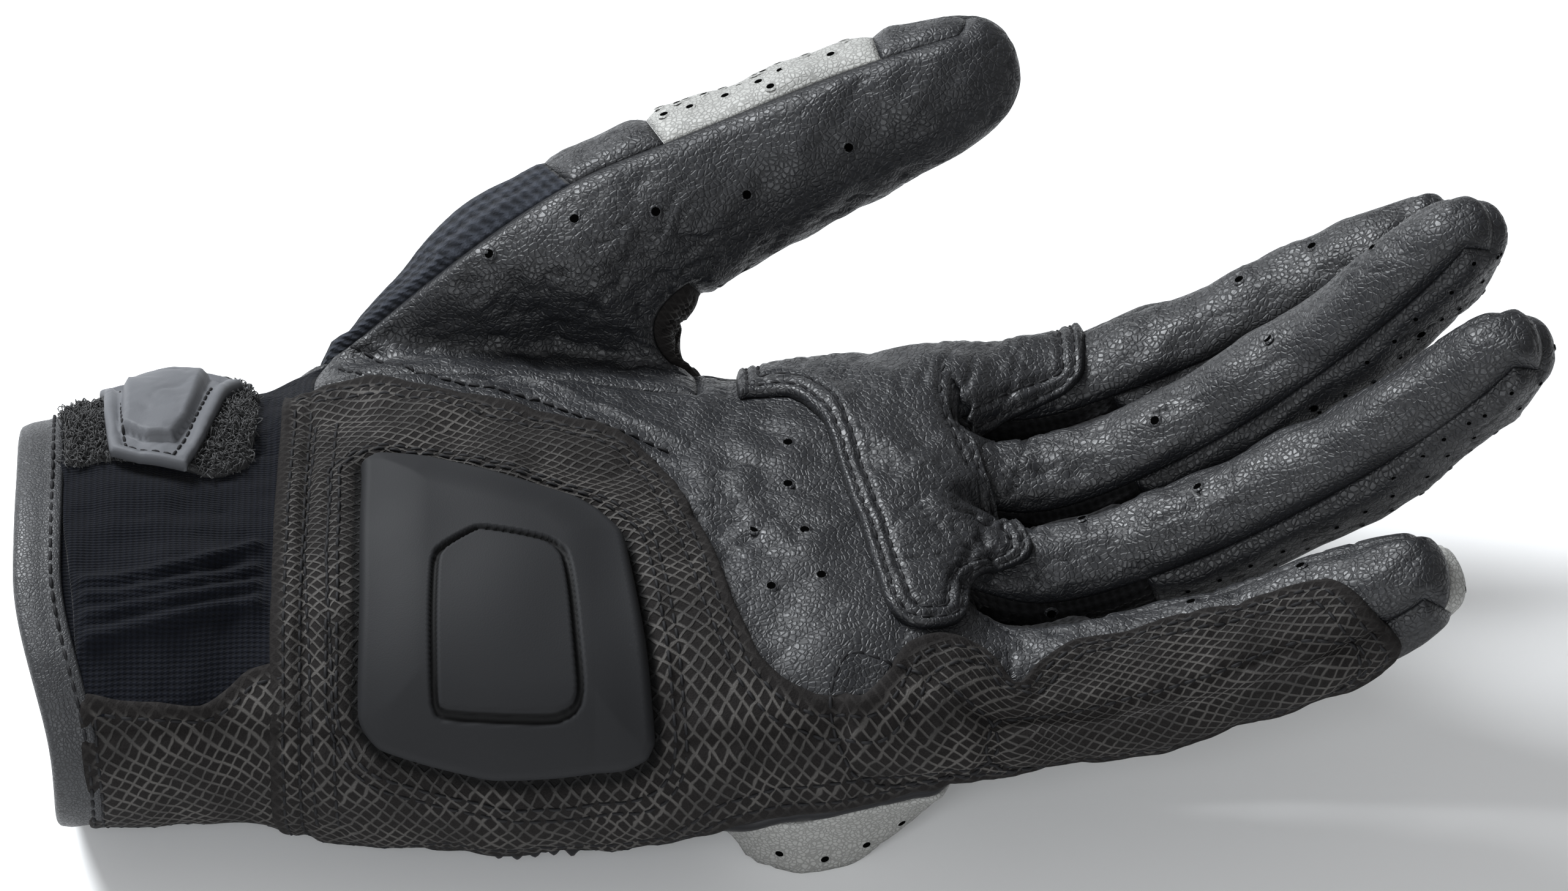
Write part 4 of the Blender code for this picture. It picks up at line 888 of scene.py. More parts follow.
HAND_AXIS = np.array((
    # station, across, height, radius
    (-1.32, -0.04, 0.54, 0.72),
    (0.00, -0.02, 0.54, 0.72),
    (0.46, -0.02, 0.54, 0.76),
    (0.81, -0.06, 0.54, 0.76),
    (1.40, -0.06, 0.60, 0.76),
))
LITTLE_ROOT = station(1.03)
HEEL_RADIUS = station((0.0, 0.81, 1.03, 1.6)), PALM_THICKNESS * np.array((0.84, 0.62, 0.50, 0.30))
HAND_REACH = station((0.70, 1.0)), (PALM_WIDTH * 0.585, PALM_WIDTH * 0.72)
INDEX_REACH = station((0.70, 1.0)), (15 * MM, 15 * MM)
INDEX_RADIUS = 9.5 * MM
LATTICE = 0.6

hand_rows = station(HAND_AXIS[:, 0]), PALM_WIDTH * HAND_AXIS[:, 1], *(PALM_THICKNESS * HAND_AXIS[:, 2:].T)
hand_rows = np.stack(hand_rows, 1)
HAND = Wrap(hand_rows, HAND_REACH, np.arange(-124, 50, LATTICE) * MM, np.radians(np.arange(-195, 255, 1.0)))
index = finger_lines["index"][0]
index_rows = np.concatenate([[index[0] - (25 * MM, 0, 0)], index])
INDEX = Wrap(np.column_stack([index_rows, np.full(len(index_rows), INDEX_RADIUS)]), INDEX_REACH,
             np.arange(14, 62, LATTICE) * MM, np.radians(np.arange(-160, 90, 1.5)))
little = finger_lines["little"][0]
rows = hand_rows[hand_rows[:, 0] < LITTLE_ROOT - 20 * MM, :3], little[little[:, 0] > LITTLE_ROOT]
rows = np.concatenate(rows)
HEEL = Wrap(np.column_stack([rows, np.interp(rows[:, 0], *HEEL_RADIUS)]), HAND_REACH,
            np.arange(-85, 106, LATTICE) * MM, np.radians(np.arange(-75, 145, 1.0)))
print("skin maps:", HAND.radius.shape, INDEX.radius.shape, HEEL.radius.shape)

# %% Outlines and their meshes
def as_table(wrap, line):
    """Flat points back to the tables' shares of length and degrees of turn."""
    share = (line[:, 0] - WRIST_X) / np.where(line[:, 0] < WRIST_X, CUFF_LENGTH, PALM_LENGTH)
    return np.stack([share, np.degrees(line[:, 1] / wrap.axis(line[:, 0], 3))], 1)


def corners_on(wrap, pixels):
    """Corners traced on the photograph as rows of such a table."""
    return as_table(wrap, wrap.unroll(on_photo(pixels, FORM, FORM_NORMALS)[0]))


def resample(corners, spacing):
    """A smooth closed line through the corners (Hermite curves), cut into even steps."""
    b, c = corners, np.roll(corners, -1, axis=0)
    a, d = np.roll(corners, 1, axis=0), np.roll(corners, -2, axis=0)
    t = np.linspace(0, 1, 8, endpoint=False)[None, :, None]
    a, b, c, d = (v[:, None, :] for v in (a, b, c, d))
    fine = b + (c - b) * t * t * (3 - 2 * t) + (c - a) * 0.28 * t * (1 - t) ** 2 - (d - b) * 0.28 * t**2 * (1 - t)
    return even_steps(np.concatenate([fine.reshape(-1, 2), corners[:1]]), spacing, closed=True)


def even_steps(line, spacing, closed=False):
    """The same line, cut into even steps of about that spacing."""
    run = run_along(line)
    count = max(int(round(run[-1] / spacing)), 6)
    return at_marks(np.linspace(0, run[-1], count, endpoint=not closed), run, line)


def anticlockwise(line):
    x, y = line[:, 0], line[:, 1]
    return line if np.sum(x * np.roll(y, -1) - np.roll(x, -1) * y) > 0 else line[::-1]


def inset(line, distance):
    """Each point of a closed line moved inwards, square to the line."""
    along = unit(np.roll(line, -1, axis=0) - np.roll(line, 1, axis=0))
    return line + np.stack([-along[:, 1], along[:, 0]], 1) * distance


def line_distance(spots, line, closed=True):
    """Distance from each spot to a polyline: the least over its straight pieces."""
    start, end = line if closed else line[:-1], np.roll(line, -1, axis=0) if closed else line[1:]
    best = np.full(len(spots), 1.0)
    way = end - start
    square = np.maximum(np.sum(way * way, 1), 1e-14)
    for part in np.array_split(np.arange(len(spots)), max(len(spots) // 4000, 1)):
        gap = spots[part][:, None, :] - start[None]
        share = np.clip(np.sum(gap * way, 2) / square, 0, 1)
        best[part] = np.sqrt(np.min(np.sum((gap - share[..., None] * way) ** 2, 2), 1))
    return best


def inside(spots, line):
    """Even-odd rule: how many edges a line from the spot crosses on its way out."""
    a, b = line[None], np.roll(line, -1, axis=0)[None]
    x, y = spots[:, :1], spots[:, 1:]
    spans = (a[..., 1] > y) != (b[..., 1] > y)
    reach = a[..., 0] + (y - a[..., 1]) * (b[..., 0] - a[..., 0]) / (b[..., 1] - a[..., 1] + 1e-15)
    return np.sum(spans & (x < reach), 1) % 2 == 1


def staggered(low, high, pitch, row):
    """Nodes of a grid in which every second row is shifted by half a pitch."""
    v, u = np.meshgrid(np.arange(low[1], high[1], row), np.arange(low[0], high[0], pitch), indexing="ij")
    u = u + (np.arange(len(u)) % 2)[:, None] * pitch / 2
    return np.stack([u.ravel(), v.ravel()], 1)


def mesh_outline(line, spacing, rows):
    """Triangles inside an outline: rows of points just inside the edge, then an even hexagonal grid."""
    grid = staggered(line.min(0), line.max(0), spacing, spacing * 0.866)
    grid = grid[inside(grid, line)]
    grid = grid[line_distance(grid, line) > rows[-1] + 0.55 * spacing]
    rings = [line]
    for depth in rows:
        ring = inset(line, depth)
        rings.append(ring[line_distance(ring, line) > depth * 0.85])
    spots = np.concatenate(rings + [grid])
    made = delaunay_2d_cdt([Vector(p) for p in spots], [], [list(range(len(line)))], 1, 1e-7)
    return np.array([tuple(p) for p in made[0]]), np.array(made[2])


def rounded(edge, radius):
    """The quarter circle that an edge is rounded to: 0 at the edge, 1 a radius inside."""
    t = np.clip(edge / radius, 0, 1)
    return np.sqrt(np.maximum(1 - (1 - t) ** 2, 0))


def lay_patch(name, wrap, table, lift, material, nodes, spacing=1.3 * MM, wall=1.4 * MM, rows=(0.15, 0.4, 0.9),
              calm=False, marks=None):
    """A patch whose outer face stands lift(spots, edge) off the skin. Returns the piece and its outline.

    rows says how many mm inside the edge the extra rows of points lie, and marks gives further numbers for
    the materials to read, each as a function of the flat points.
    """
    line = resample(anticlockwise(wrap.flat(table)), spacing)
    spots, triangles = mesh_outline(line, spacing, [r * MM for r in rows])
    edge = line_distance(spots, line)
    place, normal = wrap.lay(spots, calm)
    outer = above_floor(place + normal * lift(spots, edge)[:, None])
    a, b, c = (outer[triangles[:, k]] for k in range(3))
    if np.sum(np.cross(b - a, c - a) * normal[triangles[:, 0]]) < 0:
        triangles = triangles[:, ::-1]
    piece = object_from(name, outer + FORM_TO_FRAME, triangles)
    set_cloth(piece, spots[triangles.ravel()])
    mark(piece, "edge", edge)
    for title, field in (marks or {}).items():
        mark(piece, title, field(spots))
    return finish_piece(piece, nodes, material, wall), line


# %% [markdown]
# ## Stitches
# A lockstitch shows as a row of short threads, each dipping into the leather at both ends. One small arched
# tube, six sides round and five rings long, is repeated along every seam line.

# %% Stitching along a line
STITCH_PITCH, STITCH_LENGTH, THREAD_RADIUS = 2.7 * MM, 2.15 * MM, 0.3 * MM


def circle(side, up, count):
    """Points on a unit circle in the plane of two directions."""
    turns = np.arange(count) * math.pi / (count / 2)
    return side[..., None, :] * np.cos(turns)[:, None] + up[..., None, :] * np.sin(turns)[:, None]


def ring_faces(round_count, rings, ends, copies):
    """Faces of many copies of a tube: the bands between its rings of points, then the faces at its ends."""
    k, n = np.arange(round_count), (np.arange(round_count) + 1) % round_count
    band = np.stack([k, n, n + round_count, k + round_count], 1)
    faces = np.concatenate([*(band + round_count * i for i in range(rings - 1)), ends])
    return (faces + np.arange(copies)[:, None, None] * round_count * rings).reshape(-1, 4)


def stitch_mesh(points, normals, pitch=STITCH_PITCH, length=STITCH_LENGTH, radius=THREAD_RADIUS):
    """Arched tubes along a line: each ring is a circle carried on the line's tangent, sinking at both ends."""
    run = run_along(points)
    starts = np.arange(pitch * 0.25, run[-1] - length, pitch)
    share = np.array((0.0, 0.12, 0.5, 0.88, 1.0))
    size = radius * np.array((0.35, 0.9, 1.0, 0.9, 0.35))
    sink = radius * np.array((-0.9, 0.15, 0.6, 0.15, -0.9))
    marks = starts[:, None] + share * length
    at, up = at_marks(marks, run, points), unit(at_marks(marks, run, normals))
    ring = circle(unit(np.cross(unit(at[:, -1:] - at[:, :1]), up)), up, 6)
    spots = at[:, :, None] + up[:, :, None] * sink[:, None, None] + ring * size[:, None, None]
    ends = [(0, 5, 4, 3), (0, 3, 2, 1), (24, 25, 26, 27), (24, 27, 28, 29)]
    return spots.reshape(-1, 3), ring_faces(6, len(share), ends, len(starts)), len(starts)


def stitch_piece(name, runs, **thread):
    """One piece of thread from several seam lines."""
    points, faces, total, first = [], [], 0, 0
    for line, normals in runs:
        p, f, count = stitch_mesh(line, normals, **thread)
        if count:
            points.append(p)
            faces.append(f + first)
            first += len(p)
            total += count
    points = above_floor(np.concatenate(points))
    finish_piece(object_from(name, points + FORM_TO_FRAME, np.concatenate(faces)), [], THREAD)
    print(name + ":", total, "stitches")


def seam_on(wrap, line, lift, outline):
    """A line on the flat sheet, lifted off the skin as the patch under it is."""
    place, normal = wrap.lay(line)
    return place + normal * lift(line, line_distance(line, outline))[:, None], normal


def round_seam(wrap, outline, depth, lift, keep=None):
    """A closed seam a set depth inside an outline; keep(line) marks the points that are sewn."""
    line = inset(outline, depth)
    line = looped(line[line_distance(line, outline) > depth * 0.9])
    if keep is not None:
        line = line[keep(line)]
    return seam_on(wrap, line, lift, outline)


# %% [markdown]
# ## Heel panel and slider
# One piece of abrasion textile runs from the cuff round the heel of the hand and out along the little finger,
# with two padded ovals. The hard slider sits in it, in a sunken stitched border.

# %% Outlines of the heel
HEEL_OUTLINE = (
    (0.018, -50), (0.036, -55), (0.08, -57), (0.147, -56), (0.23, -51), (0.30, -46), (0.388, -41),
    (0.476, -36), (0.528, -29), (0.572, -14), (0.608, 10), (0.638, 32), (0.655, 44), (0.688, 57),
    (0.722, 62), (0.774, 65), (0.834, 64), (0.866, 57), (0.893, 45), (0.939, 33), (0.991, 24),
    (1.025, 26), (1.05, 34), (1.078, 20), (1.13, 6), (1.216, 4), (1.315, 3), (1.381, 4), (1.485, 9),
    (1.527, 33), (1.582, 96), (1.55, 122), (1.40, 128), (1.20, 126), (1.08, 118), (1.00, 100),
    (0.90, 96), (0.66, 96), (0.59, 104), (0.50, 109), (0.25, 109), (0.018, 109),
)
SLIDER_OUTLINE = corners_on(HAND, (
    (591, 995), (592, 790), (598, 771), (614, 761), (661, 755), (710, 762), (822, 791), (944, 826), (984, 850),
    (1012, 886), (1030, 930), (1054, 1051), (1075, 1188), (1073, 1213), (1058, 1236), (1016, 1256), (920, 1267),
    (815, 1265), (710, 1251), (636, 1225), (606, 1198), (594, 1158),
))
SLIDER_GROOVE = (
    (0.24, 39), (0.252, 34), (0.296, 28), (0.313, 28), (0.388, 32), (0.41, 36), (0.419, 43),
    (0.439, 66), (0.432, 70), (0.406, 71.5), (0.348, 71.5), (0.256, 71), (0.241, 68),
)
SEAM_STEP = 1.0 * MM
HEEL_ROWS = (2.4, 5.0)  # mm from the edge to the sewn lines
HEEL_PADS = (((0.86, 71), (0.95, 72), 3.0 * MM, 8.5 * MM), ((1.09, 84), (1.44, 82), 4.0 * MM, 10.0 * MM))


def swell(wrap, spots, lines):
    """0 to 1: how far each spot lies within reach of one of the lines."""
    share = np.zeros(len(spots))
    for start, end, flat, reach in lines:
        distance = line_distance(spots, wrap.flat((start, end)), closed=False)
        share = np.maximum(share, ease((reach - distance) / (reach - flat)))
    return share


def pad_rims(spots):
    """Distance to the outlines of the two pads."""
    gaps = [line_distance(spots, HEEL.flat((s, e)), closed=False) - r * 0.92 for s, e, _, r in HEEL_PADS]
    return np.min(np.abs(gaps), 0)


slider_on_heel = HEEL.unroll(HAND.skin(resample(anticlockwise(HAND.flat(SLIDER_OUTLINE)), SEAM_STEP)))
CUFF_LINES = [even_steps(HEEL.flat(((x, -40), (x - 0.012, 30), (x + 0.008, 100))), SEAM_STEP) for x in (0.068, 0.098)]
CRUMPLED = HEEL.flat(((0.93, 60),))[0], 26 * MM


def heel_lift(spots, edge):
    """Thickness, pads, puffs between the sewn lines, and the sunken border round the slider."""
    near_slider = line_distance(spots, slider_on_heel)
    lined = np.min([line_distance(spots, line, closed=False) for line in CUFF_LINES], axis=0)
    pads = swell(HEEL, spots, HEEL_PADS)
    rim = bell(pad_rims(spots), 1.0 * MM)
    sewn = sum(bell(edge - depth * MM, 0.6 * MM) for depth in HEEL_ROWS)
    moat_dip_and_shade = bell(near_slider - 0.4 * MM, 1.3 * MM) * 1.1 + bell(near_slider - 5.2 * MM, 0.6 * MM) * 0.35
    uneven = flat_waves(spots, 14 * MM, 21) * 0.16
    crumple = bell(flat_waves(spots, 12 * MM, 23, (2.0, 0.6, 1)), 0.15) * 0.35
    crumple = crumple * round_patch(spots, *CRUMPLED)
    inner = 1.8 * pads - 0.3 * rim - 0.42 * sewn - moat_dip_and_shade - 0.3 * bell(lined, 0.6 * MM) + uneven - crumple
    return (0.45 + 1.35 * rounded(edge, 0.6 * MM) + inner) * MM


def close_to(line, reach):
    """A mark for the materials: 1 on the line, 0 farther than reach from it."""
    return lambda spots: np.clip(1 - line_distance(spots, line) / reach, 0, 1)


# the mark beside the slider carries the painted shade of its sunken border
heel, heel_line = lay_patch("heel_panel_sewn", HEEL, HEEL_OUTLINE, heel_lift, HEEL_TEXTILE, ["heel_panel"],
                            0.9 * MM, marks={"moat_dip_and_shade": close_to(slider_on_heel, 3 * MM)})
print("heel panel:", len(heel.data.polygons), "faces")

# %% The slider
groove_line = resample(anticlockwise(HAND.flat(SLIDER_GROOVE)), 0.6 * MM)
SLIDER_BASE = 1.2 * MM


def slider_lift(spots, edge):
    """A rounded rim, a low crown, the engraved line, and a slight rise inside it."""
    crown = 1.4 * MM * ease(edge / (11 * MM))
    engraved = 1.0 * MM * ease((0.75 * MM - line_distance(spots, groove_line)) / (0.4 * MM))
    raised = 0.15 * MM * inside(spots, groove_line)
    return SLIDER_BASE + 3.0 * MM * rounded(edge, 1.5 * MM) + crown - engraved + raised


# the mark along the engraved line feeds the slider's painted groove shade
slider, _ = lay_patch("palm_slider_moulded", HAND, SLIDER_OUTLINE, slider_lift, SLIDER_RUBBER, ["palm_slider"],
                      0.42 * MM, 2.6 * MM, (0.12, 0.35, 0.8, 1.4), True, {"painted_groove_shade": close_to(groove_line, 1.2 * MM)})
print("slider:", len(slider.data.polygons), "faces")

# %% Heel stitching
heel_runs = [round_seam(HEEL, heel_line, depth * MM, heel_lift) for depth in HEEL_ROWS]
for ring in (3.4, 5.2):  # mm outside the slider
    line = inset(slider_on_heel, -ring * MM)
    heel_runs.append(seam_on(HEEL, line[inside(line, heel_line)], heel_lift, heel_line))
heel_runs += [seam_on(HEEL, line, heel_lift, heel_line) for line in CUFF_LINES]
for start, end, flat, radius in HEEL_PADS:
    a, b = HEEL.flat((start, end))
    way = unit(b - a)
    side = np.array((-way[1], way[0]))
    t = np.linspace(-math.pi / 2, math.pi / 2, 24)[:, None]
    bow = (np.cos(t) * way + np.sin(t) * side) * radius
    oval = looped(np.concatenate([b + bow, a - bow]))
    heel_runs.append(seam_on(HEEL, even_steps(oval, SEAM_STEP), heel_lift, heel_line))
stitch_piece("heel_stitches", heel_runs)

# %% Where a traced seam lies once the skin has moved
def settled(line, ways):
    """A traced line, each step moved along its normal to the height of the finished skin there."""
    moved = SKIN[((FORM[None] - line[:, None]) ** 2).sum(2).argmin(1)]
    return line + ways * np.sum((moved - line) * ways, 1)[:, None]


# %% [markdown]
# ## Knuckle overlay
# A second layer of leather lies across the roots of the index and middle fingers. Its edge is folded under, so
# it is round and stands up, and two lines of stitches follow it.

# %% Overlay
KNUCKLE_PALM_SIDE = (
    (1200, 644), (1274, 639), (1310, 647), (1340, 677), (1364, 728), (1385, 800), (1410, 867), (1428, 933), (1443, 987),
    (1467, 1017), (1509, 1024), (1551, 1024), (1580, 1005), (1577, 951), (1589, 939), (1641, 930), (1680, 921),
    (1692, 897), (1680, 868), (1640, 852), (1618, 820), (1606, 770), (1594, 725), (1578, 695), (1575, 672),
)
ROOT = (31.5 * MM - WRIST_X) / PALM_LENGTH
OVERLAY_ROWS = (1.6, 3.7)  # mm from the edge to the sewn lines
HIDDEN = 2.6 * MM  # how far a piece sinks where the other one covers it
KNUCKLE_OUTLINE = np.concatenate([
    as_table(HAND, HAND.unroll(trace(KNUCKLE_PALM_SIDE, 1.5 * MM)[0])),
    ((ROOT, -66), (ROOT, -76), (ROOT, -84), (0.80, -86), (0.68, -84), (0.657, -76)),
])
TONGUE_OUTLINE = ((20, -100), (20, 44), (25, 60), (31, 57), (36, 51), (42, 46), (46, 42), (48.4, 33), (49.4, 22),
                  (49.5, -10), (49.3, -60), (48.6, -85), (46, -97), (40, -100))


def overlay_lift(spots, edge):
    uneven = flat_waves(spots, 13 * MM, 31) * 0.14
    folds = bell(flat_waves(spots, 9 * MM, 33, (1.8, 0.7, 1)), 0.14) * 0.22
    sewn = sum(bell(edge - depth * MM, 0.5 * MM) * 0.6 for depth in OVERLAY_ROWS)
    return (0.3 + 1.75 * rounded(edge, 0.9 * MM) + uneven * ease(edge / (4 * MM)) - sewn - folds) * MM


def pad_lift(spots, edge):
    """The pad sinks where the index finger's strip takes over."""
    turned = -np.degrees(spots[:, 1] / HAND.axis(spots[:, 0], 3))
    return overlay_lift(spots, edge) - HIDDEN * ease((spots[:, 0] - 26 * MM) / (5 * MM)) * ease((turned - 52) / 8)


def tongue_lift(spots, edge):
    """The strip sinks where the pad takes over."""
    return overlay_lift(spots, edge) - HIDDEN * ease((26.5 * MM - spots[:, 0]) / (5 * MM))


def past_root(line):
    return line[:, 0] > 28 * MM


tongue_table = np.array([((x * MM - WRIST_X) / PALM_LENGTH, turn) for x, turn in TONGUE_OUTLINE])
_, tongue_line = lay_patch("knuckle_tongue_sewn", INDEX, tongue_table, tongue_lift, BLACK_LEATHER, [],
                           0.6 * MM, 1.2 * MM)
_, overlay_line = lay_patch("knuckle_overlay_sewn", HAND, KNUCKLE_OUTLINE, pad_lift, BLACK_LEATHER,
                            ["knuckle_overlay"], 0.6 * MM, 1.2 * MM)
stitch_piece("knuckle_stitches", [round_seam(HAND, overlay_line, d * MM, pad_lift) for d in OVERLAY_ROWS])
stitch_piece("tongue_stitches", [round_seam(INDEX, tongue_line, d * MM, tongue_lift, past_root) for d in OVERLAY_ROWS])
stitch_piece("thumb_seam_stitches", [(settled(*t) + t[1] * 0.15 * MM, t[1]) for t in (THENAR_UPPER, THENAR_LOWER)])

# %% [markdown]
# ## The wrist: stretch knit, textile and pile
# The knit gathers in folds at the wrist. Below it the abrasion textile runs down to the back of the
# cuff, and above it lies the loop patch of the strap's fastening.

# %% Wrist pieces
ELASTIC_OUTLINE = (
    (-0.86, -26), (-0.441, -26), (-0.10, -26), (0.03, -26), (0.033, 20), (0.033, 50), (0.033, 76), (-0.255, 76),
    (-0.435, 76), (-0.73, 76), (-0.79, 45), (-0.84, 10),
)
CUFF_TEXTILE_OUTLINE = (
    (-0.75, 68), (-0.60, 69), (-0.435, 69.5), (-0.255, 71), (-0.15, 68), (-0.06, 64), (0.055, 62), (0.06, 90),
    (0.055, 112), (-0.67, 112), (-0.72, 90),
)
CUFF_ROW = 2.4 * MM  # from the textile's edge to its sewn line
LOOP_OUTLINE = (
    (-0.834, -62), (-0.834, -22), (-0.681, -21), (-0.455, -20), (-0.25, -14), (-0.132, -18), (-0.0734, -22),
    (-0.0587, -58), (-0.147, -74), (-0.705, -74),
)
FOLD_LINES = [HAND.unroll(trace(pixels)[0]) for pixels in (
    ((100, 955), (200, 948), (310, 925), (430, 893)), ((112, 982), (210, 975), (320, 950), (430, 930)),
    ((118, 1012), (200, 1000), (300, 975), (430, 960)), ((128, 1050), (220, 1030), (330, 1000), (430, 990)),
)]


def elastic_lift(spots, edge):
    """Each fold is a narrow bell on a broad low one; the folds end where the palm begins."""
    soft = flat_waves(spots, 16 * MM, 41, (0.5, 1.5, 1)) * 0.2
    gaps = np.min([line_distance(spots, line, closed=False) for line in FOLD_LINES], axis=0)
    folds = 1.3 * bell(gaps, 1.15 * MM) + 0.5 * bell(gaps, 4 * MM)
    folds = folds * ease((station(0.015) - spots[:, 0]) / (4 * MM)) * ease(edge / (2.5 * MM))
    return (0.2 + 0.6 * rounded(edge, 0.8 * MM) + soft * ease(edge / (3 * MM)) + folds) * MM


def cuff_textile_lift(spots, edge):
    sewn = bell(edge - CUFF_ROW, 0.6 * MM) * 0.35
    bunched = flat_waves(spots, 17 * MM, 45, (1.5, 0.8, 1)) * 0.3
    return (0.3 + 1.15 * rounded(edge, 0.7 * MM) - sewn + bunched * ease(edge / (4 * MM))) * MM


def loop_lift(spots, edge):
    lumps = flat_waves(spots, 4 * MM, 43) * 0.22
    return (0.3 + 1.3 * rounded(edge, 1.2 * MM) + lumps) * MM


lay_patch("wrist_elastic_sewn", HAND, ELASTIC_OUTLINE, elastic_lift, CUFF_KNIT, ["wrist_elastic"], 0.9 * MM)
_, cuff_textile_line = lay_patch("cuff_textile_sewn", HAND, CUFF_TEXTILE_OUTLINE, cuff_textile_lift, HEEL_TEXTILE,
                                 ["cuff_textile"])
_, loop_line = lay_patch("loop_patch_base", HAND, LOOP_OUTLINE, loop_lift, PILE, ["loop_patch"])
stitch_piece("cuff_stitches", [round_seam(HAND, cuff_textile_line, CUFF_ROW, cuff_textile_lift)])

# %% Loops of the fastening: small arches of thread, turned at random with a fixed seed
PILE_HEIGHT, PILE_THREAD, PILE_ROOT = 1.7 * MM, 0.1 * MM, 1.35 * MM
PILE_DRAWS = 4000


def pile_mesh(points, normals, seed):
    """Each loop is half a circle carried on a random tangent, as a square tube of seven rings."""
    dice = np.random.default_rng(seed)
    count = len(points)
    tangent = unit(np.cross(normals, dice.normal(size=(count, 3))))
    tilt = unit(normals + 0.55 * dice.normal(size=(count, 3)))
    t = np.linspace(-0.2, math.pi + 0.2, 7)
    width = (0.45 + 0.5 * dice.random(count)) * MM
    tall = PILE_HEIGHT * (0.45 + 0.75 * dice.random(count))
    middle = (points[:, None] + tangent[:, None] * (np.cos(t)[:, None] * width[:, None, None])
              + tilt[:, None] * (np.sin(t)[:, None] * tall[:, None, None]))
    along = unit(np.gradient(middle, axis=1))
    side = unit(np.cross(along, normals[:, None]))
    spots = middle[:, :, None] + circle(side, np.cross(side, along), 4) * PILE_THREAD
    return spots.reshape(-1, 3), ring_faces(4, len(t), [(3, 2, 1, 0), (24, 25, 26, 27)], count)


dice = np.random.default_rng(51)
low, high = loop_line.min(0), loop_line.max(0)
spots = dice.random((PILE_DRAWS, 2)) * (high - low) + low
spots = spots[inside(spots, loop_line)]
place, normal = HAND.lay(spots)
points, faces = pile_mesh(place + normal * PILE_ROOT, normal, 52)
finish_piece(object_from("loop_pile", points + FORM_TO_FRAME, faces), [], PILE)
print("pile:", len(spots), "loops")

# %% [markdown]
# ## Strap and tab
# The strap is a folded band of smooth leather, and its end is a moulded rubber tab: a rounded rim, a sewn
# channel, and a raised plate with a bevelled edge.

# %% Strap and tab
TAB_OUTLINE = np.concatenate([
    corners_on(HAND, ((172, 650), (174, 700), (178, 745), (192, 762), (240, 771), (300, 779), (314, 768), (338, 735),
                      (370, 664), (404, 622))),
    ((-0.10, -66), (-0.40, -70), (-0.69, -70)),
])
TAB_PLATE = np.concatenate([
    corners_on(HAND, ((199, 640), (198, 726), (240, 742), (284, 742), (308, 712), (346, 640))),
    ((-0.25, -64), (-0.60, -64)),
])
STRAP_OUTLINE = (
    (-0.67, -72), (-0.176, -70), (-0.103, -90), (-0.103, -150), (-0.117, -190), (-0.617, -190), (-0.652, -150),
    (-0.67, -90),
)
STRAP_TURN = HAND.flat(((-0.3, -78), (-0.3, -98)))[:, 1]  # between these the strap comes down to the skin
TAB_SEWN_FROM = HAND.flat(((-0.3, -58),))[0, 1]
plate_line = even_steps(looped(HAND.flat(TAB_PLATE)), 0.4 * MM)
LOOP_TOP = 2.3 * MM


def tab_lift(spots, edge):
    """Rim 1.7 mm wide, channel inside it, plate raised with a 1.1 mm bevel."""
    depth = np.where(inside(spots, plate_line), line_distance(spots, plate_line), 0)
    channel = ease((edge - 1.7 * MM) / (0.5 * MM)) * (1 - ease(depth / (0.3 * MM)))
    plate = 1.5 * MM * np.clip(depth / (1.1 * MM), 0, 1)
    return LOOP_TOP + 2.0 * MM * rounded(edge, 0.6 * MM) - 0.7 * MM * channel + plate


def strap_lift(spots, edge):
    high = 1 - ease((spots[:, 1] - STRAP_TURN[0]) / (STRAP_TURN[1] - STRAP_TURN[0]))
    return (0.45 + 1.4 * rounded(edge, 0.8 * MM) + 1.9 * high) * MM


_, tab_line = lay_patch("strap_tab_moulded", HAND, TAB_OUTLINE, tab_lift, TAB_RUBBER, ["strap_tab"],
                        0.42 * MM, 1.6 * MM, (0.12, 0.35, 0.8, 1.6, 2.1))
_, strap_line = lay_patch("wrist_strap_sewn", HAND, STRAP_OUTLINE, strap_lift, CUFF_LEATHER, ["wrist_strap"], 1.6 * MM)


def on_tab(line):
    return (line_distance(line, plate_line) > 0.5 * MM) & (line[:, 1] > TAB_SEWN_FROM)


def past_the_turn(line):
    return line[:, 1] < STRAP_TURN[1]


stitch_piece("tab_stitches", [round_seam(HAND, tab_line, 2.7 * MM, tab_lift, on_tab)],
             pitch=2.0 * MM, length=1.6 * MM, radius=0.25 * MM)
stitch_piece("strap_stitches", [round_seam(HAND, strap_line, 2.2 * MM, strap_lift, past_the_turn)])

# %% [markdown]
# ## Knuckle guard
# On the back a rubber rim holds a padded grey leather dome, which the glove rests on, with air holes. The
# dome is a crowned closed form, flat only where it meets the table, and it is firm, so it is shaped directly.

# %% Guard
GUARD_OUTLINE = (
    (0.61, 112), (0.68, 103), (0.84, 99), (0.95, 102), (0.97, 112), (0.97, 150), (0.965, 190), (0.95, 225),
    (0.93, 238), (0.80, 246), (0.67, 240), (0.615, 222), (0.60, 190), (0.60, 150),
)
COVER_INSET = 3.5 * MM
middle = HAND.flat(GUARD_OUTLINE).mean(0)
spokes = HAND.flat(GUARD_OUTLINE) - middle
shrunk = middle + spokes * (1 - COVER_INSET / np.linalg.norm(spokes, axis=1))[:, None]
COVER_OUTLINE = as_table(HAND, shrunk)
DOME_BASE, DOME_HEIGHT, DOME_SLOPE = 2.55 * MM, 12.5 * MM, 8 * MM


def rim_lift(spots, edge):
    return (0.3 + 2.0 * rounded(edge, 1.6 * MM)) * MM


def dome_lift(spots, edge):
    """A rounded edge, then a dome that falls off towards the fingers."""
    fall = ease((spots[:, 0] - station(0.74)) / (PALM_LENGTH * 0.20))
    return DOME_BASE + 1.2 * MM * rounded(edge, 1.2 * MM) + DOME_HEIGHT * (1 - 0.75 * fall) * ease(edge / DOME_SLOPE)


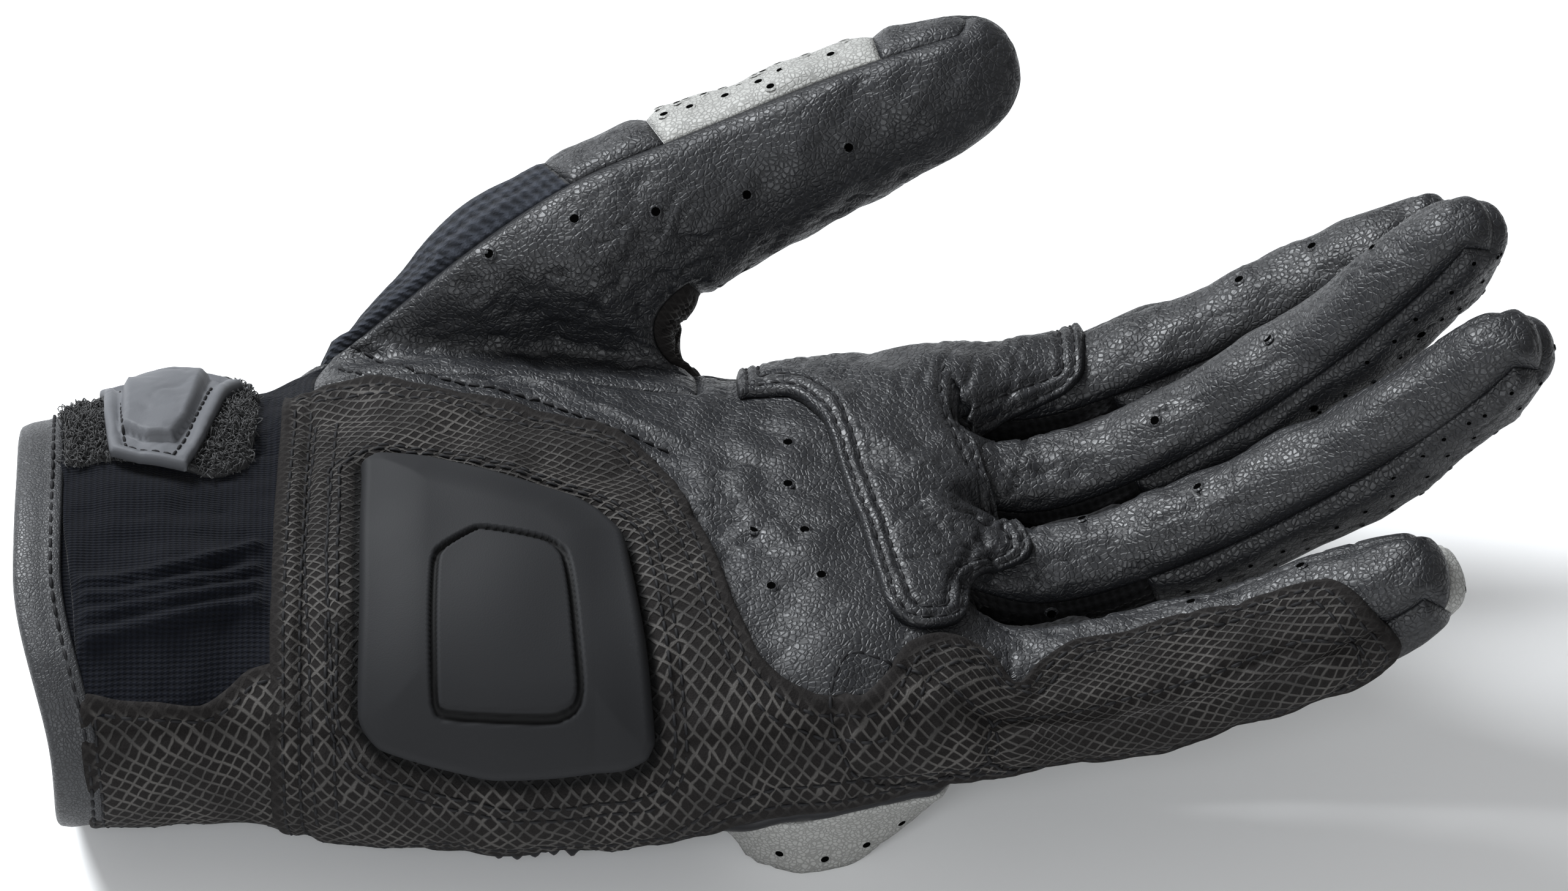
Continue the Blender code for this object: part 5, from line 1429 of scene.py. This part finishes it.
lay_patch("knuckle_guard_rim_moulded", HAND, GUARD_OUTLINE, rim_lift, BLACK_RUBBER, ["knuckle_guard_rim"],
          1.2 * MM, 1.8 * MM)
cover, cover_line = lay_patch("knuckle_guard_cover_padded", HAND, COVER_OUTLINE, dome_lift, GREY_LEATHER,
                              ["knuckle_guard_cover"], 1.2 * MM, 1.5 * MM)


RIB_OUTLINE = (0.31, 113), (0.44, 113), (0.44, 125), (0.31, 125)
FIRST_RIB, RIB_PITCH = station(0.325), PALM_LENGTH * 0.025


def ribs_lift(spots, edge):
    """Five ribs: sine humps along the block."""
    hump = 0.5 + 0.5 * np.cos((spots[:, 0] - FIRST_RIB) / RIB_PITCH * 2 * math.pi)
    return (0.45 + 2.0 * rounded(edge, 0.7 * MM) + 1.1 * hump * ease(edge / (1.2 * MM))) * MM


lay_patch("ribbed_block_moulded", HAND, RIB_OUTLINE, ribs_lift, BLACK_RUBBER, ["ribbed_block"], 0.5 * MM, 1.5 * MM)

# %% [markdown]
# ## Binding of the opening
# A strip of smooth leather is folded over the raw edge of the cuff and sewn through. It is one closed profile,
# a narrow U, carried round the opening.

# %% Binding
def border_loop():
    """The opening's edge in order: each border edge leads to the next point."""
    quads = QUADS[LEFT_FACE[RIGHT_FACE < 0]]
    rim = FORM_EDGES[RIGHT_FACE < 0]
    step = np.stack([quads, np.roll(quads, -1, axis=1)], 2)
    ends = step[np.all(np.sort(step, axis=2) == rim[:, None], axis=2)]
    follow = dict(ends.tolist())
    order = [int(ends[0, 0])]
    while follow[order[-1]] != order[0]:
        order.append(follow[order[-1]])
    return order


order = border_loop()
loop, out = FORM[order], FORM_NORMALS[order]
into = np.cross(out, np.roll(loop, -1, axis=0) - np.roll(loop, 1, axis=0))
into = unit(into) * np.sign(np.mean(into[:, 0]))
out = unit(out - into * np.sum(out * into, 1)[:, None])
turn = np.linspace(0, math.pi, 9)
bow = np.stack([-0.45 - 1.15 * np.sin(turn), -0.6 + 1.65 * np.cos(turn)], 1)
# pairs of mm: along the cuff from its edge, and outwards
outer_leg = (6.2, 0.45), (6.3, 0.75), (5.9, 1.12), (4.8, 1.05), (3.5, 0.98), (2.4, 1.12), (0.8, 1.22)
inner_leg = (1.0, -2.75), (4.5, -2.7), (4.9, -2.4), (4.9, -1.65), (0, -1.65), (-0.45, -0.6), (0, 0.45)
profile = np.concatenate([outer_leg, bow, inner_leg]) * MM
lumps = waves(loop, 18 * MM, 61)[:, None, None] * 0.12 * MM
spots = loop[:, None] + into[:, None] * profile[None, :, :1] + out[:, None] * (profile[None, :, 1:] + lumps)
size, count = len(profile), len(loop)
i, k = np.meshgrid(np.arange(count), np.arange(size), indexing="ij")
j, n = (i + 1) % count, (k + 1) % size
faces = np.stack([i * size + k, i * size + n, j * size + n, j * size + k], 2).reshape(-1, 4)
binding = object_from("cuff_binding_sewn", above_floor(spots.reshape(-1, 3)) + FORM_TO_FRAME, faces)
finish_piece(binding, ["cuff_binding"], CUFF_LEATHER)
line = looped(loop) + looped(into) * 4.6 * MM + looped(out) * 1.1 * MM
stitch_piece("binding_stitches", [(line, looped(out))])

# %% [markdown]
# ## Air holes
# Punched holes let air in: single ones down the palm and the fingers, and an even grid of small ones in the
# side strips, in the grey backs and in the guard's dome. A hole is a dark disc, painted shade for the inside of
# the glove seen through it, in a slightly raised, rounded lip, which is how a punched hole in soft leather looks.

# %% Holes
HOLE_ROWS = ((1.55, -0.12), (1.2, 0.11), (0.95, 0.08), (0.3, 0.06))  # share of the radius, lift in mm


def hole_mesh(points, normals, radius):
    """A lip of three rings of ten points and a dark disc inside it, the hole's painted shade, turned to each normal."""
    aside = np.where(np.abs(normals[:, :1]) < 0.9, (1.0, 0.0, 0.0), (0.0, 1.0, 0.0))
    e1 = unit(np.cross(normals, aside))
    ring = circle(e1, np.cross(normals, e1), 10)
    rows = [points[:, None] + ring * radius * size + normals[:, None] * lift * MM for size, lift in HOLE_ROWS]
    middle = [(30, 31, 32, 33), (30, 33, 34, 35), (30, 35, 36, 37), (30, 37, 38, 39)]
    # painted shade: the inner band and the disc take the near-black hole material
    dark = np.tile(np.repeat((0, 1), (20, 14)), len(points))
    return np.concatenate(rows, axis=1).reshape(-1, 3), ring_faces(10, len(rows), middle, len(points)), dark


def hole_piece(name, points, normals, radius, lip):
    spots, faces, dark = hole_mesh(points, normals, radius)
    piece = finish_piece(object_from(name, spots + FORM_TO_FRAME, faces), [], lip)
    piece.data.materials.append(PAINTED_HOLE_SHADE)
    piece.data.polygons.foreach_set("material_index", dark)
    print(name + ":", len(points), "holes")


PALM_HOLES = (
    (1280, 721), (1289, 785), (1310, 858), (1235, 864), (1346, 933), (1267, 951), (795, 417), (938, 349), (1073, 343),
    (1222, 316), (1390, 239), (2139, 396), (2022, 451), (2234, 398), (2064, 549), (1881, 686), (2320, 555), (2149, 673),
    (1955, 788), (1760, 840), (2118, 915), (1938, 973), (1719, 1005),
)
points, normals = on_photo(PALM_HOLES, SKIN, FORM_NORMALS)
hole_piece("palm_holes", points, normals, 0.82 * MM, BLACK_LEATHER)

# %% Grids of holes
def grid_on(panel, pitch, margin):
    """Skin points nearest to the nodes of a staggered grid on the unrolled panel, clear of its seams."""
    corner, place = QUADS[PANEL == panel].ravel(), PLACES[PANEL == panel].reshape(-1, 2)
    nodes = staggered(place.min(0), place.max(0), pitch, pitch * 0.8)
    gap = np.linalg.norm(nodes[:, None] - place[None], axis=2)
    best, near = gap.argmin(1), gap.min(1)
    chosen = np.unique(corner[best[near < 0.7 * MM]])
    return chosen[SEAM_DISTANCE[chosen] > margin]


GRID_PITCH, SEAM_MARGIN = 5.5 * MM, 2.2 * MM
for panel, lip, radius in (
    ("ring_ulnar", BLACK_LEATHER, 0.42), ("middle_ulnar", BLACK_LEATHER, 0.42), ("index_back", GREY_LEATHER, 0.5),
    ("middle_back", GREY_LEATHER, 0.5), ("ring_back", GREY_LEATHER, 0.5), ("little_back", GREY_LEATHER, 0.5),
    ("thumb_back", GREY_LEATHER, 0.75),
):
    chosen = grid_on(panel, GRID_PITCH, SEAM_MARGIN)
    hole_piece(panel + "_holes", SKIN[chosen], FORM_NORMALS[chosen], radius * MM, lip)

# %% Holes of the dome
nodes = staggered(cover_line.min(0), cover_line.max(0), 6.6 * MM, 5.4 * MM)
nodes = nodes[inside(nodes, cover_line)]
nodes = nodes[line_distance(nodes, cover_line) > SEAM_MARGIN]
along, round_hand = np.array(((0.8, 0.0), (0.0, 0.8))) * MM


def on_dome(spots):
    place, normal = HAND.lay(spots)
    return place + normal * dome_lift(spots, line_distance(spots, cover_line))[:, None]


du = on_dome(nodes + along) - on_dome(nodes - along)
dv = on_dome(nodes + round_hand) - on_dome(nodes - round_hand)
place, normal = on_dome(nodes), unit(np.cross(dv, du))
normal = normal * np.sign(np.sum(normal * HAND.lay(nodes)[1], 1))[:, None]
clear = place[:, 2] > FLOOR + 0.4 * MM
hole_piece("guard_holes", place[clear], normal[clear], 0.75 * MM, GREY_LEATHER)

# %% [markdown]
# ## Floor, light and camera
# The glove lies on a plain pale floor under one strong soft light from beyond it and a weaker one from the
# front. A long lens from 45 degrees above looks at it as the photograph does.

# %% The stage
PALE = (0.86, 0.86, 0.86)
floor = object_from("floor", [(-3, -3, 0), (3, -3, 0), (3, 3, 0), (-3, 3, 0)], [(0, 1, 2, 3)])
floor.data.materials.append(Finish("pale_floor", Base_Color=PALE, Roughness=0.9).swatch(PALE))


LAMP_COLOUR = (0.94, 0.97, 1.0)
AIM = Vector((0, 0, 0.03))


def soft_light(name, spot, size, power):
    """A round lamp turned towards the glove."""
    lamp = bpy.data.lights.new(name, "AREA")
    lamp.shape, lamp.size, lamp.energy, lamp.color = "DISK", size, power, LAMP_COLOUR
    made = bpy.data.objects.new(name, lamp)
    bpy.context.scene.collection.objects.link(made)
    made.location = spot
    made.rotation_euler = (AIM - Vector(spot)).to_track_quat("-Z", "Y").to_euler()


soft_light("sky_panel", (-0.55, 0.50, 0.85), 0.5, 26)
soft_light("front_panel", (-0.2, -1.0, 0.55), 0.9, 8)
world = bpy.data.worlds.new("studio")
world.use_nodes = True
world.node_tree.nodes["Background"].inputs["Color"].default_value = (1, 1, 1, 1)
world.node_tree.nodes["Background"].inputs["Strength"].default_value = 0.32
bpy.context.scene.world = world
bpy.context.scene.view_settings.view_transform = "Standard"

VIEW_WIDTH, VIEW_HEIGHT, DISTANCE, ELEVATION = 256.1 * MM, 42.1 * MM, 3.5, math.radians(45)
lens = bpy.data.cameras.new("camera")
lens.lens = lens.sensor_width * DISTANCE / VIEW_WIDTH
lens.clip_start = 0.05
camera = bpy.data.objects.new("camera", lens)
bpy.context.scene.collection.objects.link(camera)
back = Vector((0, -math.cos(ELEVATION), math.sin(ELEVATION)))
camera.location = Vector((0, 0, VIEW_HEIGHT)) + DISTANCE * back
camera.rotation_euler = (math.pi / 2 - ELEVATION, 0, 0)
bpy.context.scene.camera = camera
